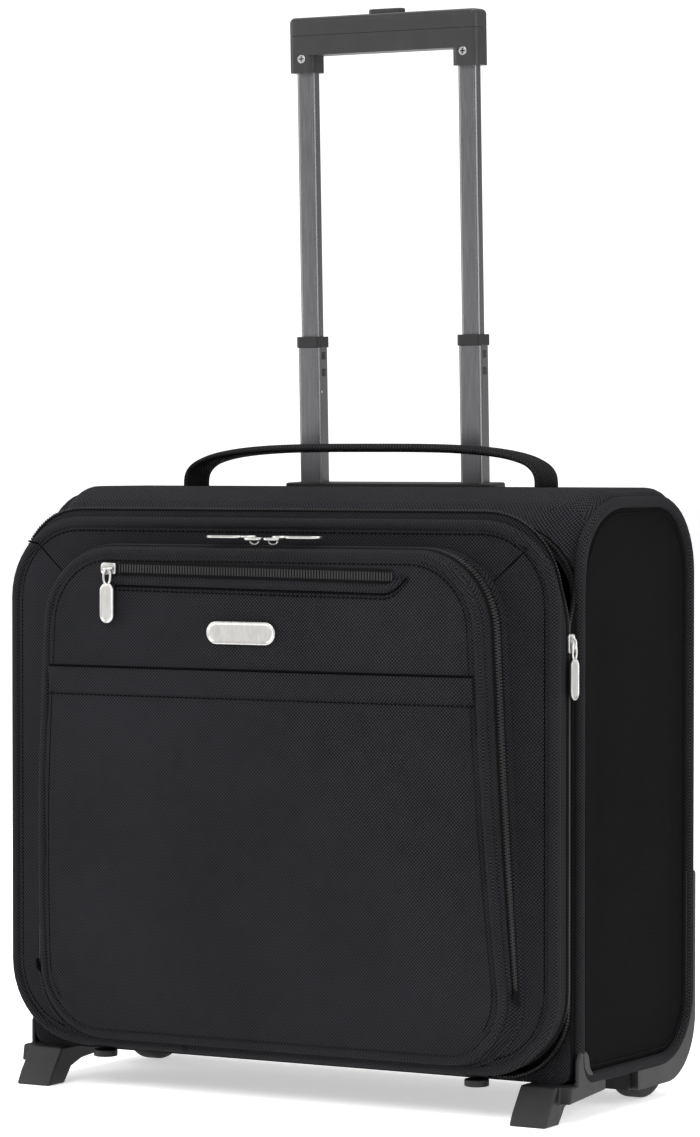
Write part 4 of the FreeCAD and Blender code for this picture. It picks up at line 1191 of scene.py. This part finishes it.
for side, sign in (("left", -1), ("right", 1)):
    low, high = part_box("main_slider_" + side)
    middle = (low + high) / 2
    place = turn_and_move(sign * 0.2195, middle.y, middle.z, 90 * sign)
    make_slider("main_slider_" + side, place, "main_slider_" + side, "main_slider_" + side)
    low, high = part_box("main_pull_" + side)
    middle = (low + high) / 2
    place = turn_and_move(middle.x, middle.y, high.z - 0.004, 90 * sign)
    make_pull("main_pull_" + side, place, "main_pull_" + side, "main_pull_" + side)
    low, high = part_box("pocket_slider_" + side)
    place = lay_flat((low + high) / 2, sign)
    make_slider("pocket_slider_" + side, place, "pocket_slider_" + side, "pocket_slider_" + side)
    low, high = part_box("pocket_pull_" + side)
    middle = (low + high) / 2
    start_x = low.x if sign > 0 else high.x
    place = lay_flat((start_x + sign * 0.004, middle.y, middle.z), sign)
    make_pull("pocket_pull_" + side, place, "pocket_pull_" + side, "pocket_pull_" + side)

low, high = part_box("small_slider")
middle = (low + high) / 2
make_slider("small_slider", turn_and_move(middle.x, low.y, middle.z, 0, -90), "small_slider", "small_slider",
            0.012, 0.009)
low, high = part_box("small_pull")
middle = (low + high) / 2
make_pull("small_pull", turn_and_move(middle.x, middle.y, high.z - 0.004), "small_pull", "small_pull")

low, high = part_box("badge")
middle = (low + high) / 2
badge = plate_from("blank_badge",
                   lambda inset, depth: capsule_points(0.0275 - inset, 0.0080 - inset, depth, 16),
                   0.0024, 0.0007, 0.0013, 0.0006)
badge_at = Matrix.Translation((middle.x, low.y - 0.0004, middle.z))
placed(badge, badge_at @ Matrix.Rotation(math.radians(90), 4, "Y"))
ride(badge, "front_panel", ["badge"])
print("hardware placed")

# %% [markdown]
# ## Moulded and drawn parts
# The feet, corner guards, grip, collars and bezel are injection mouldings, and no moulding has a knife
# edge. Each is a merged copy of its CAD node: flat regions are dissolved back to single faces, and a narrow
# bevel rounds every sharp edge, so the part keeps its exact size and gains the highlights of the real
# thing.


# %% Rounded copies
def rounded_copy(node, body, finish, slot_name, width):
    """A softened stand-in for one CAD node."""
    mesh = bmesh.new()
    mesh.from_mesh(nodes[node].data)
    bmesh.ops.remove_doubles(mesh, verts=mesh.verts[:], dist=0.00002)
    bmesh.ops.dissolve_limit(mesh, angle_limit=math.radians(2), use_dissolve_boundaries=False,
                             verts=mesh.verts[:], edges=mesh.edges[:])
    piece = finish_mesh(node + "_skin", mesh, [finish])
    if width:
        soften(piece, width, clamp="foot" not in node)
    else:
        add_modifier(piece, "EDGE_SPLIT", split_angle=math.radians(35))
        apply_modifiers(piece)
        for face in piece.data.polygons:
            face.use_smooth = True
    return ride(piece, body, [node])


MOULDED = [
    ("front_foot_left", "case", "moulded", "black_plastic", 0.0016),
    ("front_foot_right", "case", "moulded", "black_plastic", 0.0016),
    ("wheel_guard_left", "case", "moulded", "black_plastic", 0.0013),
    ("wheel_guard_right", "case", "moulded", "black_plastic", 0.0013),
    ("trolley_bezel", "case", "moulded", "black_plastic", 0.0010),
    ("middle_collar_left", "trolley_middle", "moulded", "black_plastic", 0.0006),
    ("middle_collar_right", "trolley_middle", "moulded", "black_plastic", 0.0006),
    ("grip_lower_shell", "trolley_upper", "grip", "grip_plastic", 0.0007),
    ("grip_upper_shell", "trolley_upper", "grip", "grip_plastic", 0.0007),
    ("release_button", "release_button", "grip", "grip_plastic", 0.0006),
    ("base_studs", "case", "moulded", "black_plastic", 0.0010),
    ("middle_tube_left", "trolley_middle", "tube", "dark_tube", 0.0),
    ("middle_tube_right", "trolley_middle", "tube", "dark_tube", 0.0),
    ("upper_tube_left", "trolley_upper", "tube", "dark_tube", 0.0),
    ("upper_tube_right", "trolley_upper", "tube", "dark_tube", 0.0),
    ("tyre_left", "wheel_left", "rubber", "tyre_rubber", 0.0),
    ("tyre_right", "wheel_right", "rubber", "tyre_rubber", 0.0),
    ("wheel_hub_left", "wheel_left", "moulded", "black_plastic", 0.0),
    ("wheel_hub_right", "wheel_right", "moulded", "black_plastic", 0.0),
]
for entry in MOULDED:
    rounded_copy(*entry)
print("rounded copies", len(MOULDED))

# %% [markdown]
# ## Details of the pull handle
# Two cross-head screws close the grip, each collar has two lock windows on its outer face, and a small
# steel ball shows on the inner face below each collar. The screws' cross recesses and the lock windows are
# set as small dark boxes of painted shade.


# %% Grip screws, windows and balls
TUBE_LEAN = 1.86


def tube_place(side_x, level, depth=0.0, across=0.0):
    """A place on the leaning tubes, by height measured along them."""
    lean = math.radians(TUBE_LEAN)
    along = Vector((0, -math.sin(lean), math.cos(lean)))
    ahead = Vector((0, math.cos(lean), math.sin(lean)))
    return Vector((side_x + across, 0.09025, 0.030)) + along * level + ahead * depth


def small_box(name, centre, size, finish, body):
    mesh = bmesh.new()
    made = bmesh.ops.create_cube(mesh, size=1.0)["verts"]
    bmesh.ops.scale(mesh, vec=size, verts=made)
    bmesh.ops.bevel(mesh, geom=mesh.edges[:], offset=0.0004, offset_type="OFFSET", segments=2, profile=0.5,
                    affect="EDGES", material=-1)
    matrix = Matrix.Translation(centre) @ Matrix.Rotation(math.radians(TUBE_LEAN), 4, "X")
    bmesh.ops.transform(mesh, matrix=matrix, verts=mesh.verts[:])
    return ride(finish_mesh(name, mesh, [finish]), body)


screw_parts = []
for side_x in (-0.0665, 0.0665):
    low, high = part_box("grip_screws")
    head = bmesh.new()
    bmesh.ops.create_cone(head, cap_ends=True, segments=28, radius1=0.0032, radius2=0.0032, depth=0.0016)
    rim = [edge for edge in head.edges if edge.calc_length() < 0.001 or edge.calc_face_angle() > 1]
    bmesh.ops.bevel(head, geom=rim, offset=0.0004, offset_type="OFFSET", segments=2, profile=0.5,
                    affect="EDGES", material=-1)
    bmesh.ops.rotate(head, verts=head.verts[:], matrix=Matrix.Rotation(math.radians(90), 3, "X"))
    bmesh.ops.translate(head, verts=head.verts[:], vec=(side_x, low.y + 0.0009, (low.z + high.z) / 2))
    screw_parts.append(finish_mesh("screw_head", head, ["steel"]))
    # Dark bars across each screw head: painted shade for the cross recess.
    for size in ((0.0038, 0.0003, 0.0008), (0.0008, 0.0003, 0.0038)):
        bar = bmesh.new()
        bmesh.ops.create_cube(bar, size=1.0)
        bmesh.ops.scale(bar, vec=size, verts=bar.verts[:])
        bmesh.ops.translate(bar, verts=bar.verts[:], vec=(side_x, low.y + 0.0001, (low.z + high.z) / 2))
        screw_parts.append(finish_mesh("screw_slot_shade", bar, ["rubber"]))
ride(join_pieces("cross_head_screws", screw_parts), "trolley_upper", ["grip_screws"])
for side, side_x in (("left", -0.0665), ("right", 0.0665)):
    for number, level in enumerate((480, 492)):
        # Each lock window is a thin dark box on the collar: painted shade for the recess.
        small_box("lock_window_shade_%s_%d" % (side, number), tube_place(side_x, level / 1000, 0.0, 0.0089),
                  (0.0006, 0.0050, 0.0055), "rubber", "trolley_middle")
    inward = -1 if side_x > 0 else 1
    ball = bmesh.new()
    bmesh.ops.create_uvsphere(ball, u_segments=20, v_segments=12, radius=0.0013)
    bmesh.ops.translate(ball, verts=ball.verts[:], vec=tube_place(side_x, 0.466, -0.003, inward * 0.0079))
    ride(finish_mesh("lock_ball_" + side, ball, ["steel"]), "trolley_middle")
print("handle details done")

# %% [markdown]
# ## Carry handle and divider
# The carry handle is a padded strap that arches over the top, with a piped rim down each edge, and its ends
# go in under the cloth. It is too flat to remesh, so its crowned section is bridged along the arch. The
# divider is a thin pad that keeps a laptop off the rest of the load; it starts a little smaller than its
# room and is swelled.


# %% Padded pieces
def pad_from(node, name, finish, voxel, cap, shrink, pressure=4.0, held=lambda place: False):
    mesh = bmesh.new()
    mesh.from_mesh(nodes[node].data)
    bmesh.ops.remove_doubles(mesh, verts=mesh.verts[:], dist=0.00002)
    bmesh.ops.recalc_face_normals(mesh, faces=mesh.faces[:])
    piece = remesh(finish_mesh(name, mesh, [finish]), voxel)
    for vert in piece.data.vertices:
        vert.co -= vert.normal * shrink
    swell(piece, cap, held, pressure)
    return polish(piece)


STRAP_STEPS = 60
STRAP_FOOT = 0.4262
STRAP_HALF_WIDE = 0.0148
STRAP_HALF_THICK = 0.0031
low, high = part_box("carry_handle")


def rounded(value, power):
    """A sine or cosine pushed towards its ends, which squares up a circle."""
    return math.copysign(abs(value) ** power, value)


def arch_point(step):
    """A flat-topped arch from one end of the strap to the other."""
    turn = math.pi * step / STRAP_STEPS
    rise = high.z - STRAP_HALF_THICK - 0.0002 - STRAP_FOOT
    return Vector((-(high.x - 0.004) * rounded(math.cos(turn), 0.6), (low.y + high.y) / 2,
                   STRAP_FOOT + rise * abs(math.sin(turn)) ** 0.6))


arch = [arch_point(step) for step in range(STRAP_STEPS + 1)]
outward = [(arch[min(step + 1, STRAP_STEPS)] - arch[max(step - 1, 0)]).normalized().cross(Vector((0, 1, 0)))
           for step in range(STRAP_STEPS + 1)]
outward = [way if way.z > 0 or abs(way.z) < 0.2 else -way for way in outward]
strap_mesh = bmesh.new()
strap_rings = skin(strap_mesh, [
    [at + Vector((0, STRAP_HALF_WIDE * rounded(math.cos(turn * math.pi / 10), 0.7), 0))
     + way * STRAP_HALF_THICK * rounded(math.sin(turn * math.pi / 10), 0.8) for turn in range(20)]
    for at, way in zip(arch, outward)])
for ring in (strap_rings[0], strap_rings[-1]):
    bmesh.ops.contextual_create(strap_mesh, geom=ring)
recalc(strap_mesh)
handle = finish_mesh("carry_strap", strap_mesh, ["webbing"])
ride(handle, "case", ["carry_handle"])
for edge, sign in (("front", -1), ("rear", 1)):
    rim = rope("carry_strap_rim_" + edge, [at + Vector((0, sign * STRAP_HALF_WIDE, 0)) for at in arch],
               0.0015, "welt", False)
    ride(rim, "case")
print("carry strap from", round(min(at.z for at in arch), 4), "to", round(max(at.z for at in arch), 4))
divider = pad_from("laptop_divider", "divider_pad", "lining", 0.0050, 0.0022, 0.0012, 3.0)
ride(divider, "case", ["laptop_divider"])
print("divider swelled")

# %% [markdown]
# ## Finishes for the parts kept from the model
# The tubes inside the case, the axles, bushes and springs keep their exact CAD shapes. Each takes the
# finish that the table below lists for it.

# %% Remaining nodes
KEPT = {
    "steel": ["wheel_axles", "foot_screws", "button_spring", "lock_rods"],
    "board": ["back_board"],
    "moulded": ["trolley_bracket", "middle_guide_bushes", "upper_lock_blocks"],
    "tube": ["outer_tube_left", "outer_tube_right"],
}
for finish, names in KEPT.items():
    for name in names:
        nodes[name].data.materials.clear()
        nodes[name].data.materials.append(FINISH[finish])
plain = [name for name, item in nodes.items() if not item.hide_render and
         name not in sum(KEPT.values(), [])]
print("kept nodes", sum(len(names) for names in KEPT.values()), "left without a finish", plain)

# %% Floor
floor_mesh = bmesh.new()
bmesh.ops.create_grid(floor_mesh, x_segments=1, y_segments=1, size=30)
floor = finish_mesh("floor", floor_mesh, [])
floor_material, tree, shader = new_finish("pale_floor", 0.9)
shader.inputs["Base Color"].default_value = (0.93, 0.93, 0.93, 1)
shader.inputs["Emission Color"].default_value = (1, 1, 1, 1)
shader.inputs["Emission Strength"].default_value = 0.5
floor.data.materials.append(floor_material)
floor.location.z = -0.0002
